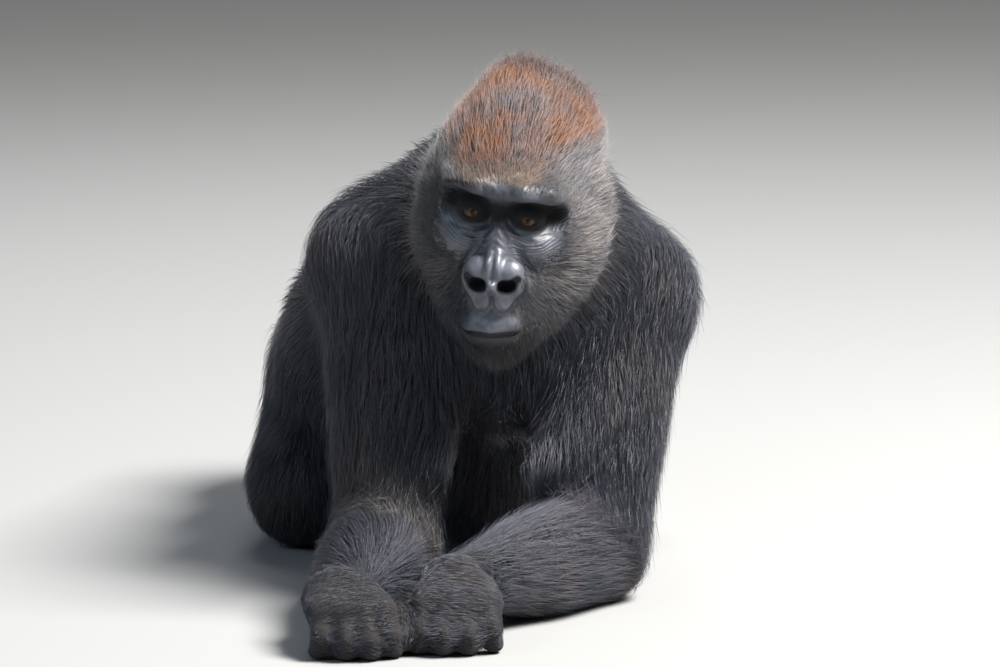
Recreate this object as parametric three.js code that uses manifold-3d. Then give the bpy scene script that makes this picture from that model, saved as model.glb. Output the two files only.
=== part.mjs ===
// A young adult western lowland gorilla, life size, crouched on its forearms and folded legs.
// Millimetres, +Z up. The animal faces -Y, and +X is its left side. The origin is the middle of
// the floor under it. The whole body is one rounded field of muscle masses, meshed once, thinned
// to the triangles that its forms need, and parted into limbs by thin flat cuts.
import * as THREE from "three";
import { mergeVertices } from "three/addons/utils/BufferGeometryUtils.js";
import Module from "manifold-3d";

const wasm = await Module();
wasm.setup();

const v = (x, y, z) => new THREE.Vector3(x, y, z);
const { degToRad } = THREE.MathUtils;

// ---- Driving dimensions -------------------------------------------------------------------
const cutGap = 0.6; // width of the thin cuts between the parts
const eyeRadius = 13.5;
const armpitHeight = 190; // above this the arms grow out of the chest, and below it they touch
const bodyTriangles = 5600; // triangles for head, trunk and limbs before they are parted
const handTriangles = 620;
const footTriangles = 460;
const shareKept = 0.61; // of the triangles that are there once the cuts have split them

// Joint centres. A pair is right, then left. The right shoulder is raised and the chest leans
// over to the left, so the two sides differ.
const joint = {
  neckBase: v(42, -2, 398),
  skullBase: v(32, -78, 416),
  earAxis: v(18, -132, 430),
  shoulder: [v(-94, 32, 346), v(178, 15, 300)],
  elbow: [v(-126, -132, 56), v(92, -184, 55)],
  wrist: [v(-228, -346, 50), v(-102, -350, 57)],
  hip: [v(-44, 436, 168), v(124, 444, 168)],
  knee: [v(-146, 190, 64), v(196, 204, 64)],
  ankle: [v(-78, 420, 38), v(152, 432, 38)],
};
// The head's own frame is x to its left, y backwards and z up, from the middle of the ear axis.
const headTurn = { yaw: -25, noseDown: 11, leftSideDown: 3 };
// The face isn't quite even: above this level its left side is lower, and below it higher.
const faceLean = { level: -50, slope: 0.0013 };
const leaning = (x, z) => z + faceLean.slope * x * (z - faceLean.level);
const eyeLevel = (x, z) => (z + faceLean.slope * x * faceLean.level) / (1 + faceLean.slope * x);
const eyePlace = [-30, 30].map((x) => v(x, -95, eyeLevel(x, 20))); // right, left, head's frame

// Pads and digits. Lengths run from the knuckle outwards, and each digit's radius is at its root.
const hand = {
  pad: 78,
  halfWidth: 44,
  halfDepth: 21,
  digits: [38, 25, 20],
  radius: 13,
  first: [38, 28],
};
const foot = {
  pad: 116,
  halfWidth: 40,
  halfDepth: 23,
  digits: [28, 18, 16],
  radius: 11.5,
  first: [42, 28],
};

// ---- Distance fields: negative inside, in millimetres ---------------------------------------
const clamp = (t, low, high) => Math.min(high, Math.max(low, t));

// A limb segment: two balls and the cone that runs between them.
function bone(a, b, ra, rb) {
  const ab = b.clone().sub(a);
  const length2 = ab.lengthSq();
  return (x, y, z) => {
    const px = x - a.x;
    const py = y - a.y;
    const pz = z - a.z;
    const t = clamp((px * ab.x + py * ab.y + pz * ab.z) / length2, 0, 1);
    const d = Math.hypot(px - t * ab.x, py - t * ab.y, pz - t * ab.z);
    return d - ra - (rb - ra) * t;
  };
}

// An ellipsoid with half sizes r, first pitched about x (its -y end down), then turned about z.
function mass(c, r, pitch = 0, turn = 0) {
  const euler = new THREE.Euler(degToRad(pitch), 0, degToRad(turn), "ZXY");
  const e = new THREE.Matrix4().makeRotationFromEuler(euler).elements;
  return (x, y, z) => {
    const px = x - c.x;
    const py = y - c.y;
    const pz = z - c.z;
    const u = (e[0] * px + e[1] * py + e[2] * pz) / r.x;
    const w = (e[4] * px + e[5] * py + e[6] * pz) / r.y;
    const t = (e[8] * px + e[9] * py + e[10] * pz) / r.z;
    const k0 = Math.hypot(u, w, t);
    const k1 = Math.hypot(u / r.x, w / r.y, t / r.z) + 1e-9;
    return (k0 * (k0 - 1)) / k1;
  };
}

// Rounded joining and carving over a band of width k.
const blend = (a, b, k) => {
  const h = Math.max(k - Math.abs(a - b), 0) / k;
  return Math.min(a, b) - (h * h * k) / 4;
};
const carve = (a, b, k) => -blend(-a, b, k);
const join = (k, ...fields) => (x, y, z) =>
  fields.reduce((d, field) => blend(d, field(x, y, z), k), 1e4);
// The same shape on both sides of the head's middle plane.
const mirrored = (field) => (x, y, z) => field(Math.abs(x), y, z);

// A field that is only worked out near its place, and is a safe large distance elsewhere.
const near = (centre, reach, field) => (x, y, z) => {
  const d = Math.hypot(x - centre.x, y - centre.y, z - centre.z) - reach;
  return d > 60 ? d : field(x, y, z);
};

// ---- The head, in its own frame --------------------------------------------------------------
function headShape() {
  const chain = (k, points, radii) =>
    join(
      k,
      ...points.slice(1).map((to, i) => bone(points[i], to, radii[i], radii[i + 1])),
    );
  const skull = join(
    26,
    mass(v(2, 0, 42), v(88, 98, 74)), // braincase under its chewing muscles
    mass(v(10, 34, 82), v(81, 78, 64)), // crown pad and crest
    mirrored(mass(v(57, -34, -20), v(52, 58, 74))), // temples and cheeks
    mirrored(mass(v(34, -62, -84), v(44, 62, 50))), // jaw muscles and side beard
    mass(v(0, -88, -118), v(40, 42, 41)), // chin
    mass(v(0, -8, -70), v(66, 70, 60)), // throat
  );
  const face = join(
    14,
    mass(v(0, -62, 46), v(70, 48, 36)), // forehead
    mirrored(mass(v(26, -92, -18), v(30, 22, 26))), // the flat of the face beside the nose
    mirrored(bone(v(40, -86, -10), v(64, -58, -4), 16, 20)), // cheekbone
    bone(v(0, -103, 24), v(0, -120, -24), 9, 15), // nose bridge
    mass(v(0, -84, -62), v(52, 50, 42)), // upper jaw
    mass(v(0, -114, -90), v(42, 29, 22)), // upper lip
    mass(v(0, -108, -114), v(34, 30, 20)), // lower jaw
  );
  const brow = mirrored(
    chain(
      8,
      [v(0, -112, 49), v(26, -111, 52), v(52, -98, 51), v(73, -68, 36)],
      [9, 11, 11.5, 10],
    ),
  );
  const sockets = mirrored(
    join(
      8,
      mass(v(32, -113, 25), v(24, 24, 18)),
      mass(v(54, -98, 25), v(20, 19, 15)),
      mass(v(10, -120, 25), v(8, 14, 13)),
    ),
  );
  const eyelids = mirrored(mass(v(30, -92.5, 20), v(18.5, 17.4, 15.6)));
  const nose = join(
    6,
    mirrored(
      join(7, mass(v(18, -129, -42), v(17, 16, 23)), mass(v(11, -133, -62), v(11, 13, 18))),
    ), // lobes round the nostrils, drawn together below
    mass(v(0, -136, -33), v(11, 9, 16)), // tip
    mass(v(0, -144, -48), v(7, 8, 9)), // its point between the nostrils
  );
  const nostrils = mirrored(
    join(
      3,
      chain(3, [v(27, -141, -38), v(18, -148, -47), v(4, -153, -61)], [4.4, 7.2, 3]),
      mass(v(15, -136, -46), v(11, 16, 9)),
    ),
  );
  const lips = mirrored(
    join(
      6,
      chain(4, [v(0, -140, -96), v(22, -134, -95), v(38, -118, -92)], [7, 7, 5]),
      chain(4, [v(0, -137, -108), v(20, -132, -107), v(34, -119, -99)], [6, 5.5, 4]),
    ),
  );
  const mouth = mirrored(
    chain(2, [v(0, -146, -102.5), v(22, -140, -101), v(40, -122, -94)], [2.6, 2.4, 1.4]),
  );
  return (x, y, z0) => {
    const z = leaning(x, z0);
    let d = blend(skull(x, y, z), face(x, y, z), 14);
    d = blend(d, brow(x, y, z), 14);
    d = carve(d, sockets(x, y, z), 10);
    d = blend(d, eyelids(x, y, z), 8);
    d = blend(d, nose(x, y, z), 3);
    d = blend(d, lips(x, y, z), 8);
    d = carve(d, nostrils(x, y, z), 2.5);
    return carve(d, mouth(x, y, z), 2.5);
  };
}

const headMatrix = new THREE.Matrix4()
  .makeRotationFromEuler(
    new THREE.Euler(
      degToRad(headTurn.noseDown),
      degToRad(headTurn.leftSideDown),
      degToRad(headTurn.yaw),
      "ZXY",
    ),
  )
  .setPosition(joint.earAxis);
const inHead = (x, y, z) => v(x, y, z).applyMatrix4(headMatrix);

function head() {
  const shape = headShape();
  const e = headMatrix.clone().invert().elements;
  return near(joint.earAxis, 190, (x, y, z) => {
    const hx = e[0] * x + e[4] * y + e[8] * z + e[12];
    const hy = e[1] * x + e[5] * y + e[9] * z + e[13];
    const hz = e[2] * x + e[6] * y + e[10] * z + e[14];
    return shape(hx, hy, hz);
  });
}

// ---- Trunk and limbs -------------------------------------------------------------------------
function trunk() {
  const [shoulderRight, shoulderLeft] = joint.shoulder;
  const [hipRight, hipLeft] = joint.hip;
  return join(
    60,
    mass(v(34, 92, 292), v(166, 180, 142), -18), // rib cage
    mass(v(40, 62, 372), v(128, 112, 84), -10), // hump of the upper back
    mass(v(40, -28, 246), v(118, 72, 96), -30), // breast muscles
    mass(v(22, 256, 184), v(188, 178, 166)), // belly
    mass(v(-36, 196, 262), v(120, 130, 98)), // right flank
    mass(v(106, 196, 262), v(116, 130, 98)), // left flank
    mass(v(26, 112, 140), v(122, 114, 130)), // hanging hair of the lower chest
    mass(v(38, 440, 198), v(132, 130, 108), 12), // pelvis
    bone(v(32, 190, 296), v(38, 420, 206), 114, 92), // loins
    bone(joint.neckBase, shoulderRight, 84, 72),
    bone(joint.neckBase, shoulderLeft, 84, 70),
    bone(v(38, 440, 194), hipRight, 92, 86),
    bone(v(38, 440, 194), hipLeft, 92, 86),
  );
}

const neck = () =>
  join(
    40,
    bone(joint.neckBase, joint.skullBase, 110, 98),
    bone(v(38, -30, 330), v(24, -96, 372), 78, 66),
  );

// An arm down to the wrist: shoulder cap, upper arm with its two bellies, elbow and forearm.
function arm(side) {
  const [shoulder, elbow, wrist] = [
    joint.shoulder[side],
    joint.elbow[side],
    joint.wrist[side],
  ];
  const at = (a, b, t) => a.clone().lerp(b, t);
  const forwards = v(0, -18, 8); // the biceps side of the upper arm
  const fringe = [46, -74]; // how far inwards the long hair reaches
  return join(
    30,
    mass(shoulder, v(84, 84, 86)),
    bone(shoulder, elbow, 68, 50),
    bone(
      at(shoulder, elbow, 0.5).add(v(fringe[side] * 0.3, -20, 0)),
      at(shoulder, elbow, 0.66).add(v(fringe[side], -30, 8)),
      46,
      34,
    ), // the long hair that hangs inside the upper arm
    bone(
      at(shoulder, elbow, 0.35).add(forwards),
      at(shoulder, elbow, 0.72).add(forwards),
      56,
      52,
    ),
    bone(
      at(shoulder, elbow, 0.3).sub(forwards),
      at(shoulder, elbow, 0.85).sub(forwards),
      50,
      42,
    ),
    bone(elbow, at(elbow, wrist, 0.45), 58, 54),
    bone(at(elbow, wrist, 0.35), wrist, 54, 38),
  );
}

function shin(side) {
  const [knee, ankle] = [joint.knee[side], joint.ankle[side]];
  const calf = [knee.clone().lerp(ankle, 0.2), knee.clone().lerp(ankle, 0.6)];
  return join(24, bone(knee, ankle, 62, 38), bone(...calf, 60, 52));
}
const leg = (side) => join(24, bone(joint.hip[side], joint.knee[side], 90, 66), shin(side));

// A chain of bones from a start point, each bent further about the hinge axis. Degrees.
function digit(start, direction, hinge, lengths, bends, radius) {
  const bones = [];
  const way = direction.clone().normalize();
  let from = start.clone();
  lengths.forEach((length, i) => {
    way.applyAxisAngle(hinge, degToRad(bends[i]));
    const to = from.clone().addScaledVector(way, length);
    bones.push(bone(from, to, radius * (1 - 0.07 * i), radius * (0.93 - 0.07 * i)));
    from = to;
  });
  return join(5, ...bones);
}

// A hand or foot: a pad from the wrist, four digits side by side, and a thumb that stands apart.
function paw(shape) {
  const { root, ahead, down, flip, pad, halfWidth, halfDepth } = shape;
  const { digits, radius, bends, first, thumb } = shape;
  const way = ahead.clone().normalize();
  const across = way.clone().cross(down).normalize().multiplyScalar(flip); // towards the thumb
  const under = across.clone().cross(way).normalize().multiplyScalar(flip);
  const hinge = way.clone().cross(under);
  const spot = (a, b, c) =>
    root
      .clone()
      .addScaledVector(across, a)
      .addScaledVector(way, b)
      .addScaledVector(under, c);
  const spacing = (halfWidth * 2 - radius * 1.5) / 3;
  const rays = [0, 1, 2, 3].map((i) => {
    const a = spacing * (1.5 - i);
    const reach = [0.95, 1, 0.97, 0.88][i];
    return {
      palm: bone(spot(a * 0.5, 6, 0), spot(a, pad * reach, 0), halfDepth + 5, radius + 4),
      finger: digit(
        spot(a, pad * reach, 0),
        way.clone().addScaledVector(across, (a / halfWidth) * 0.12),
        hinge,
        digits.map((d) => d * [0.94, 1.04, 1, 0.84][i]),
        bends,
        radius,
      ),
    };
  });
  const thumbWay = way
    .clone()
    .multiplyScalar(thumb.ahead)
    .addScaledVector(across, thumb.across)
    .addScaledVector(under, thumb.under);
  return join(
    4,
    join(14, ...rays.map((ray) => ray.palm)),
    ...rays.map((ray) => ray.finger),
    digit(
      spot(halfWidth * 0.62, pad * thumb.from, 4),
      thumbWay,
      hinge,
      first,
      [0, 14],
      radius * 1.08,
    ),
  );
}

// The hands rest on their knuckles with the fingers curled under, thumbs towards each other.
const hands = [
  {
    ahead: v(-0.04, -1, -0.06),
    flip: 1,
    bends: [34, 70, 56],
    thumb: { from: 0.2, ahead: 0.85, across: 0.3, under: 0.45 },
  },
  {
    ahead: v(-0.24, -0.95, -0.13),
    flip: -1,
    bends: [30, 70, 56],
    thumb: { from: 0.2, ahead: 0.85, across: 0.3, under: 0.45 },
  },
].map((pose, i) => paw({ ...hand, ...pose, root: joint.wrist[i], down: v(0, 0, -1) }));

// The feet lie behind with their soles up, and the heels sit under the rump.
const feet = joint.ankle.map((ankle, i) => {
  const flip = i ? -1 : 1;
  const sole = paw({
    ...foot,
    root: ankle.clone().add(v(0, 4, 0)),
    ahead: v(0.1 * flip, 1, -0.13),
    down: v(0, 0, 1),
    flip,
    bends: [-4, 14, 20],
    thumb: { from: 0.34, ahead: 0.66, across: 0.7, under: 0.1 },
  });
  const heel = bone(ankle.clone().add(v(0, 6, 0)), ankle.clone().add(v(0, 22, 10)), 32, 25);
  return join(16, sole, heel);
});

// The whole animal but its hands and feet. Parts that only touch keep a crease between them.
const arms = [0, 1].map((side) => {
  const reach = joint.elbow[side].clone().lerp(joint.shoulder[side], 0.35);
  return near(reach, 330, arm(side));
});
const legs = [0, 1].map((side) => {
  const middle = joint.knee[side].clone().lerp(joint.ankle[side], 0.6);
  return near(middle, 330, leg(side));
});
function wholeBody() {
  const masses = trunk();
  const neckShape = neck();
  const headField = head();
  return (x, y, z) => {
    let d = blend(masses(x, y, z), neckShape(x, y, z), 50);
    d = blend(d, headField(x, y, z), 26);
    const limb = Math.min(arms[0](x, y, z), arms[1](x, y, z));
    d = z > armpitHeight ? blend(d, limb, 34) : Math.min(d, limb);
    return blend(d, Math.min(legs[0](x, y, z), legs[1](x, y, z)), 16);
  };
}

// ---- Meshing ---------------------------------------------------------------------------------
const coarseStep = 7.5;
const fineStep = 4;
const bodySpan = {
  x: { from: -272, to: 282, fine: [-102, 138] },
  y: { from: -470, to: 600, fine: [-292, -52] },
  z: { from: -14, to: 620, fine: [262, 580] },
};
const handSpan = (i) => spanAround(joint.wrist[i].clone().add(v(-8, -66, 10)), v(84, 116, 72));
const footSpan = (i) => spanAround(joint.ankle[i].clone().add(v(0, 86, 0)), v(84, 130, 72));
function spanAround(middle, half) {
  const along = (axis) => {
    const [from, to] = [middle[axis] - half[axis], middle[axis] + half[axis]];
    return { from, to, fine: [from, to] };
  };
  return { x: along("x"), y: along("y"), z: along("z") };
}

function gridLines({ from, to, fine }) {
  const lines = [];
  let at = from;
  while (at < to) {
    lines.push(at);
    at += at >= fine[0] && at < fine[1] ? fineStep : coarseStep;
  }
  return lines;
}

// A cell of eight corners is clean when its inside corners hang together along its edges, and
// its outside corners do too. Only then is one point in each cell enough for a closed surface.
const cellIsClean = Array.from({ length: 256 }, (_, mask) =>
  [mask, ~mask & 255].every((side) => {
    if (!side) return true;
    let reached = side & -side;
    for (let round = 0; round < 8; round++) {
      for (let corner = 0; corner < 8; corner++) {
        if (!(reached & (1 << corner))) continue;
        for (const axis of [1, 2, 4]) reached |= side & (1 << (corner ^ axis));
      }
    }
    return reached === side;
  }),
);

// The surface where the field is zero: one vertex in each cell that it passes through, and one
// four-sided face across each grid edge that it crosses.
function surfaceOf(field, span) {
  const lines = [gridLines(span.x), gridLines(span.y), gridLines(span.z)];
  const [nx, ny, nz] = lines.map((l) => l.length);
  const stride = [1, nx, nx * ny];
  const value = new Float32Array(nx * ny * nz);
  // The grid's own border counts as outside, so a limb that runs out of it is closed there.
  const border = (i, n) => i === 0 || i === n - 1;
  lines[2].forEach((z, k) =>
    lines[1].forEach((y, j) =>
      lines[0].forEach((x, i) => {
        const last = border(i, nx) || border(j, ny) || border(k, nz);
        value[i + nx * (j + ny * k)] = last ? 1000 : field(x, y, z);
      }),
    ),
  );
  const cornerOf = (cell, corner) =>
    cell + (corner & 1) + ((corner >> 1) & 1) * nx + (corner >> 2) * nx * ny;
  const maskOf = (cell) => {
    let mask = 0;
    for (let c = 0; c < 8; c++) if (value[cornerOf(cell, c)] < 0) mask |= 1 << c;
    return mask;
  };
  const cells = [];
  for (let k = 0; k < nz - 1; k++) {
    for (let j = 0; j < ny - 1; j++) {
      for (let i = 0; i < nx - 1; i++) cells.push(i + nx * (j + ny * k));
    }
  }
  for (let changed = true; changed; ) {
    changed = false;
    for (const cell of cells) {
      if (cellIsClean[maskOf(cell)]) continue;
      const outside = [0, 1, 2, 3, 4, 5, 6, 7]
        .map((c) => cornerOf(cell, c))
        .filter((at) => value[at] >= 0);
      value[outside.reduce((a, b) => (value[b] < value[a] ? b : a))] = -0.01;
      changed = true;
    }
  }
  const positions = [];
  const vertexOf = new Map();
  const place = (at, axis) =>
    lines[axis][Math.floor(at / stride[axis]) % [nx, ny, nz][axis]];
  for (const cell of cells) {
    const mask = maskOf(cell);
    if (mask === 0 || mask === 255) continue;
    const sum = [0, 0, 0];
    let crossings = 0;
    for (let c = 0; c < 8; c++) {
      for (let axis = 0; axis < 3; axis++) {
        const d = c | (1 << axis);
        if (d === c || ((mask >> c) & 1) === ((mask >> d) & 1)) continue;
        const [a, b] = [cornerOf(cell, c), cornerOf(cell, d)];
        const t = value[a] / (value[a] - value[b]);
        for (let q = 0; q < 3; q++) sum[q] += place(a, q) * (1 - t) + place(b, q) * t;
        crossings++;
      }
    }
    vertexOf.set(cell, positions.length / 3);
    positions.push(...sum.map((s) => s / crossings));
  }
  const triangles = [];
  for (const cell of vertexOf.keys()) {
    for (let axis = 0; axis < 3; axis++) {
      const [a, b] = [cell, cell + stride[axis]];
      if (value[a] < 0 === value[b] < 0) continue;
      const [u, w] = [stride[(axis + 1) % 3], stride[(axis + 2) % 3]];
      const ring = [cell, cell - u, cell - u - w, cell - w].map((c) => vertexOf.get(c));
      if (value[a] >= 0) ring.reverse();
      triangles.push(ring[0], ring[1], ring[2], ring[0], ring[2], ring[3]);
    }
  }
  return { positions, triangles };
}

// ---- Thinning --------------------------------------------------------------------------------
// How much more than plain bulk a place is worth when triangles are shared out.
const facePlace = inHead(0, -100, -20);
function worth(x, y, z) {
  const face = Math.hypot(x - facePlace.x, y - facePlace.y, z - facePlace.z);
  return 1 + 14 * Math.exp(-((face / 90) ** 4));
}

// Edges are collapsed, cheapest first, where each vertex remembers the planes it must stay near.
function thin({ positions, triangles }, target) {
  const p = Float64Array.from(positions);
  const count = p.length / 3;
  const faces = [];
  for (let i = 0; i < triangles.length; i += 3) faces.push(triangles.slice(i, i + 3));
  const facesAt = Array.from({ length: count }, () => new Set());
  faces.forEach((face, f) => face.forEach((vertex) => facesAt[vertex].add(f)));
  const point = (i) => [p[3 * i], p[3 * i + 1], p[3 * i + 2]];
  const normalOf = (a, b, c) => {
    const [ux, uy, uz] = [b[0] - a[0], b[1] - a[1], b[2] - a[2]];
    const [wx, wy, wz] = [c[0] - a[0], c[1] - a[1], c[2] - a[2]];
    return [uy * wz - uz * wy, uz * wx - ux * wz, ux * wy - uy * wx];
  };
  const dot = (a, b) => a[0] * b[0] + a[1] * b[1] + a[2] * b[2];

  const quadrics = Array.from({ length: count }, () => new Float64Array(10));
  for (const face of faces) {
    const corners = face.map(point);
    const normal = normalOf(...corners);
    const area = Math.hypot(...normal) || 1e-9;
    const [a, b, c] = normal.map((s) => s / area);
    const d = -dot([a, b, c], corners[0]);
    const plane = [a * a, a * b, a * c, a * d, b * b, b * c, b * d, c * c, c * d, d * d];
    for (const vertex of face) plane.forEach((s, i) => (quadrics[vertex][i] += s * area));
  }
  const errorAt = (q, [x, y, z]) =>
    q[0] * x * x + 2 * q[1] * x * y + 2 * q[2] * x * z + 2 * q[3] * x +
    q[4] * y * y + 2 * q[5] * y * z + 2 * q[6] * y +
    q[7] * z * z + 2 * q[8] * z + q[9];
  const bestPlace = (q, a, b) => {
    const det =
      q[0] * (q[4] * q[7] - q[5] * q[5]) -
      q[1] * (q[1] * q[7] - q[5] * q[2]) +
      q[2] * (q[1] * q[5] - q[4] * q[2]);
    const middle = [0, 1, 2].map((i) => (a[i] + b[i]) / 2);
    if (Math.abs(det) < 1e-3 * (q[0] + q[4] + q[7]) ** 3) return middle;
    const [r, s, t] = [-q[3], -q[6], -q[8]];
    const best = [
      (r * (q[4] * q[7] - q[5] * q[5]) - q[1] * (s * q[7] - q[5] * t) + q[2] * (s * q[5] - q[4] * t)) / det,
      (q[0] * (s * q[7] - t * q[5]) - r * (q[1] * q[7] - q[5] * q[2]) + q[2] * (q[1] * t - s * q[2])) / det,
      (q[0] * (q[4] * t - q[5] * s) - q[1] * (q[1] * t - s * q[2]) + r * (q[1] * q[5] - q[4] * q[2])) / det,
    ];
    const reach = Math.hypot(b[0] - a[0], b[1] - a[1], b[2] - a[2]);
    const moved = Math.hypot(...best.map((s, i) => s - middle[i]));
    return moved < reach ? best : middle;
  };

  // A heap of possible collapses, each stamped so that one gone stale is skipped.
  const heap = [];
  const stamp = new Int32Array(count);
  const sink = () => {
    const top = heap[0];
    const last = heap.pop();
    if (!heap.length) return top;
    let i = 0;
    for (;;) {
      let child = 2 * i + 1;
      if (child >= heap.length) break;
      if (child + 1 < heap.length && heap[child + 1].cost < heap[child].cost) child++;
      if (heap[child].cost >= last.cost) break;
      heap[i] = heap[child];
      i = child;
    }
    heap[i] = last;
    return top;
  };
  const rise = (entry) => {
    let i = heap.length;
    heap.push(entry);
    while (i > 0) {
      const parent = (i - 1) >> 1;
      if (heap[parent].cost <= entry.cost) break;
      heap[i] = heap[parent];
      i = parent;
    }
    heap[i] = entry;
  };
  const offer = (a, b) => {
    const q = quadrics[a].map((s, i) => s + quadrics[b][i]);
    const [pa, pb] = [point(a), point(b)];
    const place = bestPlace(q, pa, pb);
    const length2 = (pa[0] - pb[0]) ** 2 + (pa[1] - pb[1]) ** 2 + (pa[2] - pb[2]) ** 2;
    const cost = (Math.max(errorAt(q, place), 0) + 2e-3 * length2 ** 2) * worth(...place);
    rise({ a, b, place, cost, age: [stamp[a], stamp[b]] });
  };
  const neighbours = (i) => {
    const found = new Set();
    for (const f of facesAt[i]) for (const vertex of faces[f]) found.add(vertex);
    found.delete(i);
    return found;
  };
  const wouldFold = (i, other, place) => {
    for (const f of facesAt[i]) {
      const face = faces[f];
      if (face.includes(other)) continue;
      const before = normalOf(...face.map(point));
      const after = normalOf(...face.map((vertex) => (vertex === i ? place : point(vertex))));
      if (dot(before, after) < 0.35 * Math.hypot(...before) * Math.hypot(...after)) return true;
      if (Math.hypot(...after) < 0.5) return true;
    }
    return false;
  };

  for (const [a, b, c] of faces) {
    if (a < b) offer(a, b);
    if (b < c) offer(b, c);
    if (c < a) offer(c, a);
  }
  let left = faces.length;
  while (left > target && heap.length) {
    const { a, b, place, age } = sink();
    if (!facesAt[a].size || !facesAt[b].size) continue;
    if (age[0] !== stamp[a] || age[1] !== stamp[b]) continue;
    const around = neighbours(a);
    if (!around.has(b)) continue;
    const shared = [...neighbours(b)].filter((vertex) => around.has(vertex));
    if (shared.length !== 2 || wouldFold(a, b, place) || wouldFold(b, a, place)) continue;
    p.set(place, 3 * a);
    quadrics[b].forEach((s, i) => (quadrics[a][i] += s));
    for (const f of facesAt[b]) {
      if (faces[f].includes(a)) {
        for (const vertex of faces[f]) if (vertex !== b) facesAt[vertex].delete(f);
        left--;
      } else {
        faces[f][faces[f].indexOf(b)] = a;
        facesAt[a].add(f);
      }
    }
    facesAt[b].clear();
    stamp[a]++;
    stamp[b]++;
    for (const vertex of neighbours(a)) offer(a, vertex);
  }

  const renumbered = new Map();
  const kept = { positions: [], triangles: [] };
  faces.forEach((face, f) => {
    if (!face.every((vertex) => facesAt[vertex].has(f))) return;
    for (const vertex of face) {
      if (!renumbered.has(vertex)) {
        renumbered.set(vertex, kept.positions.length / 3);
        kept.positions.push(...point(vertex));
      }
      kept.triangles.push(renumbered.get(vertex));
    }
  });
  return kept;
}

// ---- Solids ----------------------------------------------------------------------------------
function solidOfMesh({ positions, triangles }) {
  const mesh = new wasm.Mesh({
    numProp: 3,
    vertProperties: Float32Array.from(positions),
    triVerts: Uint32Array.from(triangles),
  });
  return new wasm.Manifold(mesh);
}

function solidOf(geometry) {
  geometry.deleteAttribute("normal");
  geometry.deleteAttribute("uv");
  const merged = mergeVertices(geometry);
  return solidOfMesh({ positions: merged.attributes.position.array, triangles: merged.index.array });
}

function meshOf(solid) {
  const { numProp, vertProperties, triVerts } = solid.getMesh();
  const positions = [];
  for (let i = 0; i < vertProperties.length; i += numProp) {
    positions.push(...vertProperties.slice(i, i + 3));
  }
  return { positions, triangles: [...triVerts] };
}

const yAxis = v(0, 1, 0);
function slab({ at, normal, width }) {
  const disc = new THREE.CylinderGeometry(width / 2, width / 2, cutGap, 24);
  disc.applyQuaternion(
    new THREE.Quaternion().setFromUnitVectors(yAxis, normal.clone().normalize()),
  );
  disc.translate(at.x, at.y, at.z);
  return solidOf(disc);
}

// A solid cut in two across a thin disc: the piece ahead of the disc, and the one behind it.
const crumb = 2000; // cubic millimetres under which a cut-off scrap is dropped
function sever(solid, cut) {
  const pieces = solid.subtract(slab(cut)).decompose().filter((piece) => piece.volume() > crumb);
  const ahead = (piece) => {
    const box = piece.boundingBox();
    const middle = v(...box.min.map((low, i) => (low + box.max[i]) / 2));
    return middle.sub(cut.at).dot(cut.normal) > 0;
  };
  const sides = [pieces.filter(ahead), pieces.filter((piece) => !ahead(piece))];
  if (sides.some((side) => side.length !== 1)) {
    throw new Error(`${cut.name}: the cut leaves ${sides.map((s) => s.length)} pieces`);
  }
  return [sides[0][0], sides[1][0]];
}

// ---- The parted animal -------------------------------------------------------------------------
const solidOfField = (field, span, triangles) =>
  solidOfMesh(thin(surfaceOf(field, span), triangles));

// Each parted solid is thinned once more, then stands on small flats where it meets the floor.
function finished(solid) {
  const mesh = meshOf(solid);
  const ground = new THREE.BoxGeometry(2000, 2000, 100).translate(0, 0, -50);
  return solidOfMesh(thin(mesh, (mesh.triangles.length / 3) * shareKept)).subtract(solidOf(ground));
}

// A bend between two segments is cut across its middle plane, square to both at once.
const acrossBend = (from, at, to) =>
  at.clone().sub(from).normalize().add(to.clone().sub(at).normalize());

// Each limb's first cut leaves the trunk here. A pair is right, then left.
const armpit = [
  { at: v(-58, -15, 300), normal: v(-0.78, -0.6, -0.12) },
  { at: v(118, -8, 262), normal: v(0.74, -0.64, -0.2) },
];

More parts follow.
